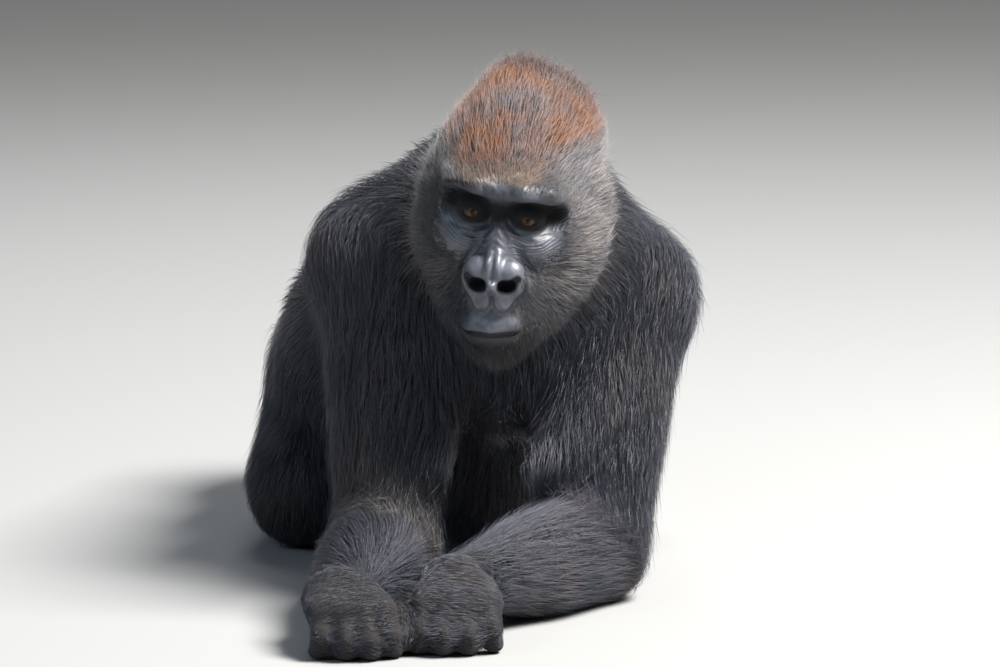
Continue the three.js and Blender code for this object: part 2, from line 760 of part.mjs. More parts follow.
function partedSolids() {
  const solids = {};
  let trunk = solidOfField(wholeBody(), bodySpan, bodyTriangles);
  const take = (name, cut) => {
    const [limb, rest] = sever(trunk, { name, ...cut });
    trunk = rest;
    return limb;
  };
  // A limb is divided from the trunk outwards. What lies past its last cut is left out, because
  // the hand or foot that goes there is made more finely, and cut across the same plane.
  const divide = (limb, names, cuts) => {
    names.forEach((name, i) => ([limb, solids[name]] = sever(limb, { name, ...cuts[i] })));
  };
  const tip = (name, field, span, triangles, cut) => {
    solids[name] = sever(solidOfField(field, span, triangles), { name, ...cut })[0];
  };
  solids.head = take("head", { at: v(30, -96, 424), normal: v(-0.28, -0.76, 0.59), width: 420 });
  solids.neck = take("neck", { at: v(38, -50, 385), normal: v(0, -0.89, 0.455), width: 330 });
  ["right", "left"].forEach((side, i) => {
    const out = i ? 1 : -1;
    const [shoulder, elbow, wrist] = [joint.shoulder[i], joint.elbow[i], joint.wrist[i]];
    const limb = take(`arm_${side}`, { ...armpit[i], width: 440 });
    const atElbow = { at: elbow, normal: acrossBend(shoulder, elbow, wrist), width: 260 };
    const atWrist = { at: wrist, normal: wrist.clone().sub(elbow), width: 150 };
    divide(limb, [`upper_arm_${side}`, `forearm_${side}`], [atElbow, atWrist]);
    const wholeHand = join(14, arms[i], hands[i]);
    tip(`hand_${side}`, wholeHand, handSpan(i), handTriangles, atWrist);
    const [hip, knee, ankle] = [joint.hip[i], joint.knee[i], joint.ankle[i]];
    const groin = hip.clone().lerp(knee, 0.5).add(v(-30 * out, 0, 10));
    const hindLimb = take(`leg_${side}`, { at: groin, normal: v(0.8 * out, 0.1, -0.6), width: 620 });
    const calf = knee.clone().lerp(ankle, 0.5).add(v(0, 0, 44));
    const underThigh = { at: calf, normal: v(0, -0.06, -1), width: 620 };
    const atAnkle = { at: ankle, normal: ankle.clone().sub(knee), width: 200 };
    divide(hindLimb, [`thigh_${side}`, `shin_${side}`], [underThigh, atAnkle]);
    const wholeFoot = join(12, shin(i), feet[i]);
    tip(`foot_${side}`, wholeFoot, footSpan(i), footTriangles, atAnkle);
  });
  solids.chest = take("chest", { at: v(30, 190, 230), normal: v(0, -1, 0.12), width: 560 });
  [solids.rump, solids.belly] = sever(trunk, {
    name: "rump",
    at: v(36, 356, 190),
    normal: v(0, 1, 0.1),
    width: 560,
  });
  return Object.fromEntries(
    Object.entries(solids).map(([name, solid]) => [name, finished(solid)]),
  );
}

// ---- Eyes and ears -------------------------------------------------------------------------------
// A ball with half sizes r, placed in the head's frame and turned outwards about z, on one side.
function headBall(side, place, r, turn = 0) {
  const ball = new THREE.SphereGeometry(1, 12, 8);
  ball.rotateX(Math.PI / 2).scale(r.x, r.y, r.z).rotateZ(degToRad(turn * side));
  ball.translate(place.x * side, place.y, place.z);
  return solidOf(ball.applyMatrix4(headMatrix));
}

const fit = 0.3; // clearance between an eye or ear and the pocket that it sits in
const ear = { place: v(94, 5, 16), half: v(9, 15, 23), turn: -24 };
const earBowl = { place: v(104, 0, 18), half: v(8, 8, 14), turn: -24 };
const grown = (half, by) => half.clone().addScalar(by);

function withEyesAndEars(solids) {
  const eyeHalf = v(eyeRadius, eyeRadius, eyeRadius);
  const opening = v(14, 14, 6.5);
  for (const [name, side] of [["right", -1], ["left", 1]]) {
    const shell = headBall(side, ear.place, ear.half, ear.turn);
    solids[`ear_${name}`] = shell.subtract(headBall(side, earBowl.place, earBowl.half, earBowl.turn));
    const eye = eyePlace[side > 0 ? 1 : 0];
    solids[`eye_${name}`] = headBall(1, eye, eyeHalf);
    solids.head = solids.head
      .subtract(headBall(side, ear.place, grown(ear.half, fit), ear.turn))
      .subtract(headBall(1, eye, grown(eyeHalf, fit)))
      .subtract(headBall(1, v(eye.x, eye.y - eyeRadius, eye.z), opening));
  }
  return solids;
}

// ---- The animal as a group -----------------------------------------------------------------------
const looks = {
  coat: { color: 0x1b191b, roughness: 0.75, metalness: 0 },
  skin: { color: 0x17171a, roughness: 0.45, metalness: 0 },
  eye: { color: 0x4a2410, roughness: 0.1, metalness: 0 },
};
const lookOf = (name) => (/^(hand|foot|ear)/.test(name) ? "skin" : /^eye/.test(name) ? "eye" : "coat");

function meshFor(name, solid) {
  const { positions, triangles } = meshOf(solid);
  const geometry = new THREE.BufferGeometry();
  geometry.setAttribute("position", new THREE.Float32BufferAttribute(positions, 3));
  geometry.setIndex(triangles);
  geometry.computeVertexNormals();
  const mesh = new THREE.Mesh(geometry, new THREE.MeshStandardMaterial(looks[lookOf(name)]));
  mesh.name = name;
  return mesh;
}

const gorilla = new THREE.Group();
for (const [name, solid] of Object.entries(withEyesAndEars(partedSolids()))) {
  gorilla.add(meshFor(name, solid));
}
// The origin goes to the middle of the floor under the animal.
const middle = new THREE.Box3().setFromObject(gorilla).getCenter(v(0, 0, 0));
gorilla.position.set(-middle.x, -middle.y, 0);

export default gorilla;
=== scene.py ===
# A life-size gorilla crouching on its forearms. One skin with a modelled face lies inside the
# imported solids, and a coat of solid tufts grows out of it to their surface. Metres, +Z up.
import math

import bmesh
import bpy
import numpy as np
import openvdb
from mathutils import Matrix, Vector
from mathutils.bvhtree import BVHTree
from mathutils.kdtree import KDTree


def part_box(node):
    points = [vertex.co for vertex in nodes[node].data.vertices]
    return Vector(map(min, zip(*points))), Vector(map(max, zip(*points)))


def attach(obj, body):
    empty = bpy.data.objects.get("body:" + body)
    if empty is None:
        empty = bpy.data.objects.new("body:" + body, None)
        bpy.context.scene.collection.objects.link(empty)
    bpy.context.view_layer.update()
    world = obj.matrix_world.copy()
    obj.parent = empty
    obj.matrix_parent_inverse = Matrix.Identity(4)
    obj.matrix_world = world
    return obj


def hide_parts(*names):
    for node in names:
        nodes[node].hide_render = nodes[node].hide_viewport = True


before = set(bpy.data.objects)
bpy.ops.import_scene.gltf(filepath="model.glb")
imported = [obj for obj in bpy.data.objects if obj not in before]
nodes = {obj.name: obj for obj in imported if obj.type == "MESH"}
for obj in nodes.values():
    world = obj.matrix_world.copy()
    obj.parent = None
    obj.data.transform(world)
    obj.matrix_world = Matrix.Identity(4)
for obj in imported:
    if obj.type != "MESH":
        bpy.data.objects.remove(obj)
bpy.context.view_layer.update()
fleshNames = sorted(name for name in nodes if not name.startswith("eye_"))
mm = 0.001


# Small helpers for arrays of points and for meshes
def unit(vectors):
    return vectors / np.maximum(np.linalg.norm(vectors, axis=-1, keepdims=True), 1e-9)


def rowDot(a, b):
    return np.sum(a * b, axis=-1, keepdims=True)


def fade(values, start, end):  # 0 at start, 1 at end, smooth between
    t = np.clip((values - start) / (end - start), 0, 1)
    return t * t * (3 - 2 * t)


def rowsOf(items, key, width, kind=float):  # one property of many mesh elements, a row for each
    values = np.empty(len(items) * width, kind)
    items.foreach_get(key, values)
    return values.reshape(-1, width)


def added(name, data):  # a new object at the origin
    made = bpy.data.objects.new(name, data)
    bpy.context.scene.collection.objects.link(made)
    return made


def addVectors(mesh, name, values):  # one vector for each point, read by a material
    mark = mesh.attributes.new(name, "FLOAT_VECTOR", "POINT")
    mark.data.foreach_set("vector", np.asarray(values, np.float32).ravel())


def ringFaces(rings, count):  # quads between rings that have the same count of points
    faces = []
    for start in range(0, rings * count, count):
        for a in range(count):
            b = (a + 1) % count
            faces.append((start + a, start + b, start + count + b, start + count + a))
    return faces


def middle(name):
    low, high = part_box(name)
    return np.array((low + high) / 2)


# Where two neighbouring parts meet: the middle of what their boxes share.
def meeting(nameA, nameB):
    lowA, highA = map(np.array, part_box(nameA))
    lowB, highB = map(np.array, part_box(nameB))
    return (np.maximum(lowA, lowB) + np.minimum(highA, highB)) / 2


# The head's own frame: x to its left, y backwards, z up, in millimetres
headTurn = {"yaw": -25, "noseDown": 11, "leftSideDown": 3, "eyes": (0, -95, 20.1)}
headMatrix = (
    Matrix.Rotation(math.radians(headTurn["yaw"]), 3, "Z")
    @ Matrix.Rotation(math.radians(headTurn["noseDown"]), 3, "X")
    @ Matrix.Rotation(math.radians(headTurn["leftSideDown"]), 3, "Y")
)
headAxes = np.array(headMatrix)
headPlace = (middle("eye_left") + middle("eye_right")) / 2 - headAxes @ np.array(headTurn["eyes"]) * mm


def toHead(points):
    return (points - headPlace) @ headAxes / mm


def fromHead(points):
    return np.asarray(points, float) @ headAxes.T * mm + headPlace


# Rounded forms as distance fields: negative inside
def ball(centre, half, pitch=0, turn=0):
    spin = Matrix.Rotation(math.radians(turn), 3, "Z") @ Matrix.Rotation(math.radians(pitch), 3, "X")
    axes = np.array(spin)

    def field(p):
        q = ((p - centre) @ axes) / half
        reach = np.linalg.norm(q, axis=1)
        return reach * (reach - 1) / (np.linalg.norm(q / half, axis=1) + 1e-9)

    return field


def rod(start, end, startRadius, endRadius):
    along = np.subtract(end, start)

    def field(p):
        t = np.clip((p - start) @ along / (along @ along), 0, 1)
        gap = np.linalg.norm(p - start - t[:, None] * along, axis=1)
        return gap - startRadius - (endRadius - startRadius) * t

    return field


def both(field):  # the same form on both sides of the head's middle plane
    return lambda p: field(p * np.where(p[:, :1] < 0, -1, 1) ** [1, 0, 0])


def melt(a, b, width):
    h = np.maximum(width - np.abs(a - b), 0) / width
    return np.minimum(a, b) - h * h * width / 4


def dig(a, b, width):
    return -melt(-a, b, width)


def joined(width, *fields):
    def field(p):
        total = fields[0](p)
        for other in fields[1:]:
            total = melt(total, other(p), width)
        return total

    return field


def chain(width, *stops):  # rods through a row of places, each with its radius
    rods = [rod(a, b, radiusA, radiusB) for (a, radiusA), (b, radiusB) in zip(stops, stops[1:])]
    return joined(width, *rods)


# The face, in the head's frame
skull = joined(
    26,
    ball((2, 0, 42), (88, 98, 74)),  # braincase
    ball((10, 34, 82), (81, 78, 64)),  # crown
    both(ball((57, -34, -20), (52, 58, 74))),  # temples and cheeks
    both(ball((34, -62, -84), (44, 62, 50))),  # jaw muscles
    ball((0, -88, -118), (40, 42, 41)),  # chin
    ball((0, -8, -70), (66, 70, 60)),  # throat
)
faceForm = joined(
    14,
    ball((0, -62, 46), (70, 48, 36)),  # forehead
    both(ball((26, -92, -18), (30, 22, 26))),  # the flat of the face beside the nose
    both(rod((40, -86, -10), (64, -58, -4), 16, 20)),  # cheekbone
    rod((0, -103, 24), (0, -120, -24), 9, 15),  # bridge of the nose
    ball((0, -84, -62), (52, 50, 42)),  # upper jaw
    ball((0, -114, -90), (42, 29, 22)),  # upper lip
    ball((0, -108, -114), (34, 30, 20)),  # lower jaw
)
browRidge = both(
    chain(8, ((0, -112, 49), 9), ((26, -111, 52), 11), ((52, -98, 51), 11.5), ((73, -68, 36), 10))
)
sockets = both(
    joined(
        8,
        ball((32, -113, 25), (24, 24, 18)),
        ball((54, -98, 25), (20, 19, 15)),
        ball((10, -120, 25), (8, 14, 13)),
    )
)
lidForm = both(ball((30, -92.5, 20), (18.5, 17.4, 15.6)))
lidOpening = both(ball((31, -112, 18.5), (13, 8.5, 5.2), 0, 12))
noseLobes = both(joined(7, ball((18, -129, -42), (17, 16, 23)), ball((11, -133, -62), (11, 13, 18))))
noseTip = joined(
    4,
    both(joined(4, ball((5, -136, -33), (6, 9, 16)), ball((4, -128, -22), (7, 9, 12)))),
    ball((0, -144, -48), (7, 8, 9)),
)
nostrils = both(
    joined(
        4,
        chain(4, ((27, -141, -38), 3.8), ((18, -148, -47), 6.3), ((5, -153, -61), 2.8)),
        ball((15, -136, -46), (10, 15, 8)),
    )
)
nostrilFloor = both(ball((17, -153, -56), (11, 11, 12)))
lips = both(
    joined(
        6,
        chain(4, ((0, -140, -96), 7), ((22, -134, -95), 7), ((38, -118, -92), 5)),
        chain(4, ((0, -137, -108), 6), ((20, -132, -107), 5.5), ((34, -119, -99), 4)),
    )
)
mouthLine = both(chain(2, ((0, -146, -102.5), 2.5), ((22, -140, -101), 2.4), ((41, -122, -92), 1.6)))


def crease(field, width, depth):  # a groove along a form of no thickness
    return lambda p: depth * np.exp(-((field(p) / width) ** 2))


def groove(width, depth, *stops):  # the same groove on both sides, through a few stops
    return crease(both(chain(1, *((stop, 0) for stop in stops))), width, depth)


creases = [
    groove(3.2, 2.2, (11, -114, 6), (26, -114, -16), (38, -106, -38), (46, -102, -62)),  # beside the nose
    groove(4, 1.4, (37, -138, -66), (47, -112, -92)),
    groove(2.6, 1.2, (13, -115, -4), (30, -110, -30)),
    groove(2.2, 1.2, (14, -112, 8), (26, -110, -4), (46, -100, -18)),
    groove(2.0, 1.1, (22, -112, 4), (38, -106, -4), (56, -92, -10)),
    groove(2.0, 0.9, (40, -106, 1), (60, -88, 2)),
    groove(2.4, 3.0, (0, -151, -52), (0, -147, -78)),
    groove(2.8, 1.8, (30, -128, -60), (20, -138, -76), (8, -144, -83), (0, -145, -83)),
    groove(1.8, 1.3, (10, -114, 10), (20, -113, -3), (34, -108, -18), (50, -96, -32)),
    groove(1.6, 1.0, (30, -110, -2), (44, -102, -12), (58, -88, -20)),
    groove(1.8, 1.2, (4, -124, 30), (2, -120, 12)),
    groove(2.4, 1.6, (0, -147, -78), (0, -146, -94)),
    groove(1.8, 2.0, (0, -147, -18), (0, -147, -46)),
    groove(2.6, 1.6, (7, -124, 58), (5, -122, 38)),
    groove(2.6, 1.2, (16, -122, 60), (13, -120, 44)),
    groove(9, 1.2, (0, -116, 26), (0, -118, 16)),
    groove(2.0, 1.0, (0, -112, 12), (12, -112, 9)),
    groove(2.0, 0.9, (0, -112, 4), (11, -112, 1)),
]
eyeFolds = {
    "centre": (30, 20), "first": 19, "gap": 5.2, "depth": 0.5, "reach": (17, 21, 32, 42),
    "flat": 0.86, "low": (4, 14), "side": (22, 4),
}
faceLean = {"level": -50, "slope": 0.0013}  # brow and mouth lean opposite ways


def faceFolds(p):  # fine folds that ring the eyes below and towards the nose
    x, z = np.abs(p[:, 0]) - eyeFolds["centre"][0], p[:, 2] - eyeFolds["centre"][1]
    away = np.hypot(x * eyeFolds["flat"], z)
    near, start, end, far = eyeFolds["reach"]
    low = fade(-z, *eyeFolds["low"]) * fade(x, *eyeFolds["side"])
    ring = np.cos((away - eyeFolds["first"]) / eyeFolds["gap"] * 2 * math.pi)
    total = eyeFolds["depth"] * ring * fade(away, near, start) * fade(away, far, end) * low
    for line in creases:
        total = total + line(p)
    return total


fineFolds = {
    "width": 3.3, "flat": 0.8, "lean": 0.105, "reach": (19, 24, 40, 58), "low": (0, 12),
    "lobes": (3, 9), "nose": (9, 18),
}


def foldField(p):  # how far out in the rings of fine folds each point lies, and how strong they are there
    x, z = np.abs(p[:, 0]) - eyeFolds["centre"][0], p[:, 2] - eyeFolds["centre"][1]
    away = np.hypot(x * fineFolds["flat"] + z * fineFolds["lean"], z)
    near, start, end, far = fineFolds["reach"]
    strong = fade(away, near, start) * fade(away, far, end) * fade(-z, *fineFolds["low"])
    strong *= fade(noseLobes(p), *fineFolds["lobes"]) * fade(np.abs(p[:, 0]), *fineFolds["nose"])
    return np.stack([away / fineFolds["width"], strong, np.zeros(len(p))], 1)


def leaning(p):
    q = p.copy()
    q[:, 2] += faceLean["slope"] * p[:, 0] * (p[:, 2] - faceLean["level"])
    return q


faceSteps = [  # what is joined on or dug out, in turn, and how wide each blends
    (melt, faceForm, 14), (melt, browRidge, 14), (dig, sockets, 10), (melt, lidForm, 8),
    (melt, joined(6, noseLobes, noseTip), 3), (melt, lips, 8), (dig, lidOpening, 1.5),
    (dig, nostrilFloor, 9), (dig, nostrils, 2.5), (dig, mouthLine, 2.5),
]


def faceField(place):
    p = leaning(place)
    d = skull(p)
    for step, form, width in faceSteps:
        d = step(d, form(p), width)
    return d + faceFolds(p)


# Eyes: a ball with a raised cornea that looks ahead
eyeBall = {
    "around": 64, "rings": 48, "crowding": 1.5, "iris": 31, "pupil": 10, "bulge": 0.0016, "bulgeMargin": 4,
    "gaze": (0.13, -1, 0.04), "streaks": 4,
}


def makeEye(name):
    low, high = (np.array(corner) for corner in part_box(name))
    centre, radius = (low + high) / 2, float((high - low).mean() / 2)
    gaze = unit(headAxes @ np.array(eyeBall["gaze"]))
    side = unit(np.cross(gaze, (0, 0, 1.0)))
    up = np.cross(side, gaze)
    streak = eyeBall["streaks"]
    points, looks = [], []
    for ring in range(eyeBall["rings"] + 1):
        lean = math.pi * (ring / eyeBall["rings"]) ** eyeBall["crowding"]  # closer towards the pupil
        degrees = math.degrees(lean)
        rise = eyeBall["bulge"] * fade(degrees, eyeBall["iris"] + eyeBall["bulgeMargin"], 0)
        for step in range(eyeBall["around"]):
            turn = 2 * math.pi * step / eyeBall["around"]
            spoke = side * math.cos(turn) + up * math.sin(turn)
            points.append(centre + (gaze * math.cos(lean) + spoke * math.sin(lean)) * (radius + rise))
            looks.append((degrees / 90, math.cos(turn) * streak, math.sin(turn) * streak))
    mesh = bpy.data.meshes.new(name + "_detailed")
    mesh.from_pydata([tuple(point) for point in points], [], ringFaces(eyeBall["rings"], eyeBall["around"]))
    addVectors(mesh, "look", looks)
    body = bmesh.new()
    body.from_mesh(mesh)
    bmesh.ops.remove_doubles(body, verts=body.verts, dist=1e-6)
    bmesh.ops.recalc_face_normals(body, faces=body.faces)
    body.to_mesh(mesh)
    body.free()
    mesh.shade_smooth()
    return added(name + "_detailed", mesh)


print("eyes")
eyes = {name: makeEye(name) for name in ("eye_right", "eye_left")}


# Skin: the solids' outline drawn in by the coat's depth
skinVolume = {"step": 0.008, "reach": 7, "gapFill": 0.0012, "blurs": 1, "room": 4, "coarse": 3}
coatDepth = {  # how far the skin lies inside the coat's tips
    "head": 0.011, "neck": 0.014, "chest": 0.013, "belly": 0.011, "rump": 0.012, "upper_arm": 0.014,
    "forearm": 0.012, "hand": 0.0015, "thigh": 0.012, "shin": 0.008, "foot": 0.001, "ear": 0.002,
}


def partOf(name):
    return name.replace("_right", "").replace("_left", "")


def trianglesOf(mesh):
    mesh.calc_loop_triangles()
    return rowsOf(mesh.loop_triangles, "vertices", 3, int)


def solidSurface():
    points, corners, owners = [], [], []
    count = 0
    for index, name in enumerate(fleshNames):
        mesh = nodes[name].data
        points.append(rowsOf(mesh.vertices, "co", 3))
        corners.append(trianglesOf(mesh) + count)
        owners += [index] * len(corners[-1])
        count += len(points[-1])
    return np.vstack(points), np.vstack(corners), np.array(owners)


def distanceGrid(points, step=skinVolume["step"], **polygons):
    return openvdb.FloatGrid.createLevelSetFromPolygons(
        points.astype(np.float32),
        **{shape: corners.astype(np.uint32) for shape, corners in polygons.items()},
        transform=openvdb.createLinearTransform(voxelSize=step),
        halfWidth=skinVolume["reach"],
    )


def distancesIn(grid, low, count, step):  # the grid's values as an array that starts at low
    values = np.full(count, step * skinVolume["reach"], np.float32)
    grid.copyToArray(values, ijk=tuple(int(n) for n in low))
    return values


def surfaceOf(volume, beyond):  # quads where the values pass through zero
    values, low, step = volume
    grid = openvdb.FloatGrid(float(beyond))
    grid.transform = openvdb.createLinearTransform(voxelSize=step)
    grid.copyFromArray(values.astype(np.float32), ijk=tuple(int(n) for n in low))
    points, quads = grid.convertToQuads(isovalue=0)
    return points.astype(float), quads[:, ::-1].astype(int)


def sample(volume, points):  # trilinear, of a value or a row of values in each cell
    values, low, step = volume
    q = np.clip(points / step - low, 0, np.array(values.shape[:3]) - 1.001)
    cell = q.astype(int)
    f = q - cell
    total = 0
    for corner in np.ndindex(2, 2, 2):
        weight = np.prod(np.where(corner, f, 1 - f), axis=1)
        i, j, k = (cell + corner).T
        part = values[i, j, k]
        total = total + (weight[:, None] * part if part.ndim > 1 else weight * part)
    return total


def blurred(values, rounds=1):
    for _ in range(rounds):
        for axis in range(3):
            ahead, behind = np.roll(values, 1, axis), np.roll(values, -1, axis)
            values = values * 0.5 + (ahead + behind) * 0.25
    return values


surfacePoints, surfaceCorners, surfaceOwners = solidSurface()
surfaceTree = BVHTree.FromPolygons(surfacePoints.tolist(), surfaceCorners.tolist())


def nearestPart(points):
    return np.array([surfaceOwners[surfaceTree.find_nearest(p)[2]] for p in points])


def indicesOf(*parts):
    return [index for index, name in enumerate(fleshNames) if partOf(name) in parts]


def skinField():
    step, fill, reach = skinVolume["step"], skinVolume["gapFill"], skinVolume["reach"]
    earless = ~np.isin(surfaceOwners, indicesOf("ear"))
    first = distanceGrid(surfacePoints, triangles=surfaceCorners[earless])
    points, quads = first.convertToQuads(isovalue=fill)  # this closes the thin cuts between parts
    low = np.floor(surfacePoints.min(0) / step).astype(int) - skinVolume["room"]
    high = np.ceil(surfacePoints.max(0) / step).astype(int) + skinVolume["room"]
    values = distancesIn(distanceGrid(points, quads=quads), low, high - low, step)
    wide = step * skinVolume["coarse"]
    coarseLow = np.floor(low * step / wide).astype(int) - 1
    coarseCount = np.ceil((high - low) * step / wide).astype(int) + 3
    coarsePoints = (np.indices(coarseCount).reshape(3, -1).T + coarseLow) * wide
    depths = np.array([coatDepth[partOf(name)] for name in fleshNames])
    depth = blurred(depths[nearestPart(coarsePoints)].reshape(coarseCount))
    band = np.nonzero(np.abs(values) < step * (reach - 0.5))
    values += fill
    values[band] += sample((depth, coarseLow, wide), (np.stack(band, 1) + low) * step)
    return blurred(values, skinVolume["blurs"]), low, step


print("skin volume")
skinGrid = skinField()
skinPoints, skinQuads = surfaceOf(skinGrid, skinGrid[0].max() + skinVolume["step"])
print("skin quads", len(skinQuads))


# Face: a finer mesh on the face's own form
faceZone = joined(  # negative over the bare face
    14,
    ball((0, -108, 25), (66, 70, 35)),
    both(ball((44, -98, -4), (24, 50, 20))),
    ball((0, -112, -34), (36, 70, 54)),
    ball((0, -130, -90), (33, 60, 22)),
)
faceFinish = {
    "finer": (30, 25), "front": -20, "own": (24, 6), "overlap": 8,
    "rounds": 4, "steps": 3, "probe": 0.4, "far": 3, "shallow": 0.2, "even": 0.5,
}
facePatch = {
    "step": 1.45, "coarse": 4, "near": 5, "low": (-92, -170, -150), "high": (92, -20, 76),
    "cut": 20, "rim": 17, "back": -24,
}


def faceSurface(p):  # a field in millimetres that turns from the face's form into the drawn-in outline
    own = fade(faceZone(p), *faceFinish["own"])
    return own * faceField(p) + (1 - own) * sample(skinGrid, fromHead(p)) / mm


# A fine mesh of its own for one part of the head, open at its rim.
def patchMesh(patch, zone, surface):
    low, step, wide = np.array(patch["low"]), patch["step"], patch["step"] * patch["coarse"]
    count = np.ceil((np.array(patch["high"]) - low) / wide).astype(int) + 1
    rough = surface(np.indices(count).reshape(3, -1).T * wide + low).reshape(count)
    fineCount = (count - 1) * patch["coarse"]
    cells = np.indices(fineCount).reshape(3, -1).T
    values = sample((rough, low / wide, wide), cells * step + low)
    near = np.abs(values) < patch["near"] + step
    values[near] = surface(cells[near] * step + low)
    points, quads = surfaceOf((values.reshape(fineCount), (0, 0, 0), 1.0), patch["near"] * 9)
    points = points * step + low
    keep = zone(points[quads].mean(1)) < patch["rim"]
    return points, quads[keep]


def drawnTo(field, p):
    probe = faceFinish["probe"]
    for _ in range(faceFinish["steps"]):
        here = field(p)
        slope = np.empty_like(p)
        for axis in range(3):
            side = np.zeros(3)
            side[axis] = probe
            slope[:, axis] = (field(p + side) - field(p - side)) / (2 * probe)
        steep = np.maximum(rowDot(slope, slope), faceFinish["shallow"])
        p = p - np.clip(here[:, None] / steep, -faceFinish["far"], faceFinish["far"]) * slope
    return p


def edgeAverage(values, edges, count):
    total = np.zeros((count,) + values.shape[1:])
    share = np.zeros(count)
    for a, b in ((0, 1), (1, 0)):
        np.add.at(total, edges[:, a], values[edges[:, b]])
        np.add.at(share, edges[:, a], 1)
    return total / np.maximum(share, 1).reshape((-1,) + (1,) * (values.ndim - 1))


# Ears: small bare shells that grow out of the sides of the head
earPlace = {"middle": (94, 5, 16), "turn": -24}
earZone = ball((88, 4, 14), (39, 36, 46))
earPatch = {
    "step": 1.5, "coarse": 2, "near": 9, "low": (42, -38, -38), "high": (126, 48, 67),
    "cut": -1, "rim": -4,
}
earFinish = {"finer": (6, 3), "own": (-5, -10), "blend": 6}


def earSpot(out, back, up):
    turn = math.radians(earPlace["turn"])
    x, y, z = earPlace["middle"]
    x += out * math.cos(turn) - back * math.sin(turn)
    return x, y + out * math.sin(turn) + back * math.cos(turn), z + up


def earField(p):
    turn = earPlace["turn"]
    shell = joined(
        5,
        ball(earSpot(0, 0, 1), (5.5, 16, 23), 0, turn),
        ball(earSpot(0, -4, -22), (4, 7, 8), 0, turn),  # lobe
        rod((72, -2, 10), earSpot(-1, -2, -1), 15, 9),  # root in the head
    )
    ridge = chain(2, (earSpot(2, 7, -10), 2.2), (earSpot(2.5, 7, 6), 2.4), (earSpot(2, 1, 15), 1.8))
    d = dig(shell(p), ball(earSpot(7, 0, 3), (7, 12, 18), 0, turn)(p), 2)
    d = melt(d, ridge(p), 3)
    d = dig(d, ball(earSpot(3, -2, -3), (7, 6, 8), 0, turn)(p), 2)
    return melt(d, ball(earSpot(2, -12, -4), (4, 4, 6), 0, turn)(p), 3)


def earSurface(p, side):
    own = fade(earZone(p * (side, 1, 1)), *earFinish["own"])
    head = sample(skinGrid, fromHead(p)) / mm
    return own * melt(head, earField(p * (side, 1, 1)), earFinish["blend"]) + (1 - own) * head


def headPatches():  # each with its settings, its zone and the surface it follows
    yield facePatch, lambda p: np.where(p[:, 1] < facePatch["back"], faceZone(p), 99), faceSurface
    (near, *lows), (far, *highs) = earPatch["low"], earPatch["high"]
    for side in (1, -1):
        start, end = sorted((side * near, side * far))
        yield (
            {**earPatch, "low": (start, *lows), "high": (end, *highs)},
            lambda p, side=side: earZone(p * (side, 1, 1)),
            lambda p, side=side: earSurface(p, side),
        )


# Hands and feet: finer faces, drawn onto a finer volume of their own
fineForms = {
    "hand": {"next": "forearm", "step": 0.0022, "cuts": 2, "blurs": 4, "own": (-0.004, 0.03)},
    "foot": {"next": "shin", "step": 0.003, "cuts": 1, "blurs": 3, "own": (-0.004, 0.03)},
}
fineMargin = 0.012


def fineVolume(name, form, parts):
    step, fill = form["step"], skinVolume["gapFill"]
    used, corners = np.unique(surfaceCorners[np.isin(surfaceOwners, parts)], return_inverse=True)
    grid = distanceGrid(surfacePoints[used], step, triangles=corners.reshape(-1, 3))
    points, quads = grid.convertToQuads(isovalue=fill)
    lowest, highest = (np.array(corner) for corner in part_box(name))
    low = np.floor((lowest - fineMargin) / step).astype(int)
    high = np.ceil((highest + fineMargin) / step).astype(int)
    values = distancesIn(distanceGrid(points, step, quads=quads), low, high - low, step)
    values += fill + coatDepth[partOf(name)]
    return blurred(values, form["blurs"]), low, step


def limbEnd(name):  # a hand or foot with its settings, what carries it and its volume
    part = partOf(name)
    form = fineForms[part]
    nextName = form["next"] + name[len(part) :]
    parts = [fleshNames.index(name), fleshNames.index(nextName)]
    volume = fineVolume(name, form, parts)
    return {"name": name, "next": nextName, "form": form, "parts": parts, "volume": volume}


def fineShare(limb, place):  # 1 on the hand or foot, 0 well up what carries it
    start = meeting(limb["name"], limb["next"])
    axis = unit(middle(limb["name"]) - start)
    return fade((place - start) @ axis, *limb["form"]["own"])


def onLimb(limb, place):  # which of these points belong to the hand or foot
    low, high = (np.array(corner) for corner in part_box(limb["name"]))
    near = np.all((place > low - fineMargin) & (place < high + fineMargin), axis=1)
    near &= fineShare(limb, place) > 0
    found = np.nonzero(near)[0]
    near[found] = np.isin(nearestPart(place[found]), limb["parts"])
    return near


def refined(body, inside):  # cut the edges whose two ends are inside
    edges = [edge for edge in body.edges if inside[edge.verts[0].index] and inside[edge.verts[1].index]]
    bmesh.ops.subdivide_edges(body, edges=edges, cuts=1, use_grid_fill=True)
    body.verts.index_update()
    body.verts.ensure_lookup_table()


def keepLargest(body, faces):  # drops scraps among the faces given
    left = set(faces)
    pieces = []
    while left:
        piece, front = [], [left.pop()]
        while front:
            face = front.pop()
            piece.append(face)
            for other in (other for edge in face.edges for other in edge.link_faces):
                if other in left:
                    left.discard(other)
                    front.append(other)
        pieces.append(piece)
    pieces.sort(key=len)
    for piece in pieces[:-1]:
        bmesh.ops.delete(body, geom=piece, context="FACES")


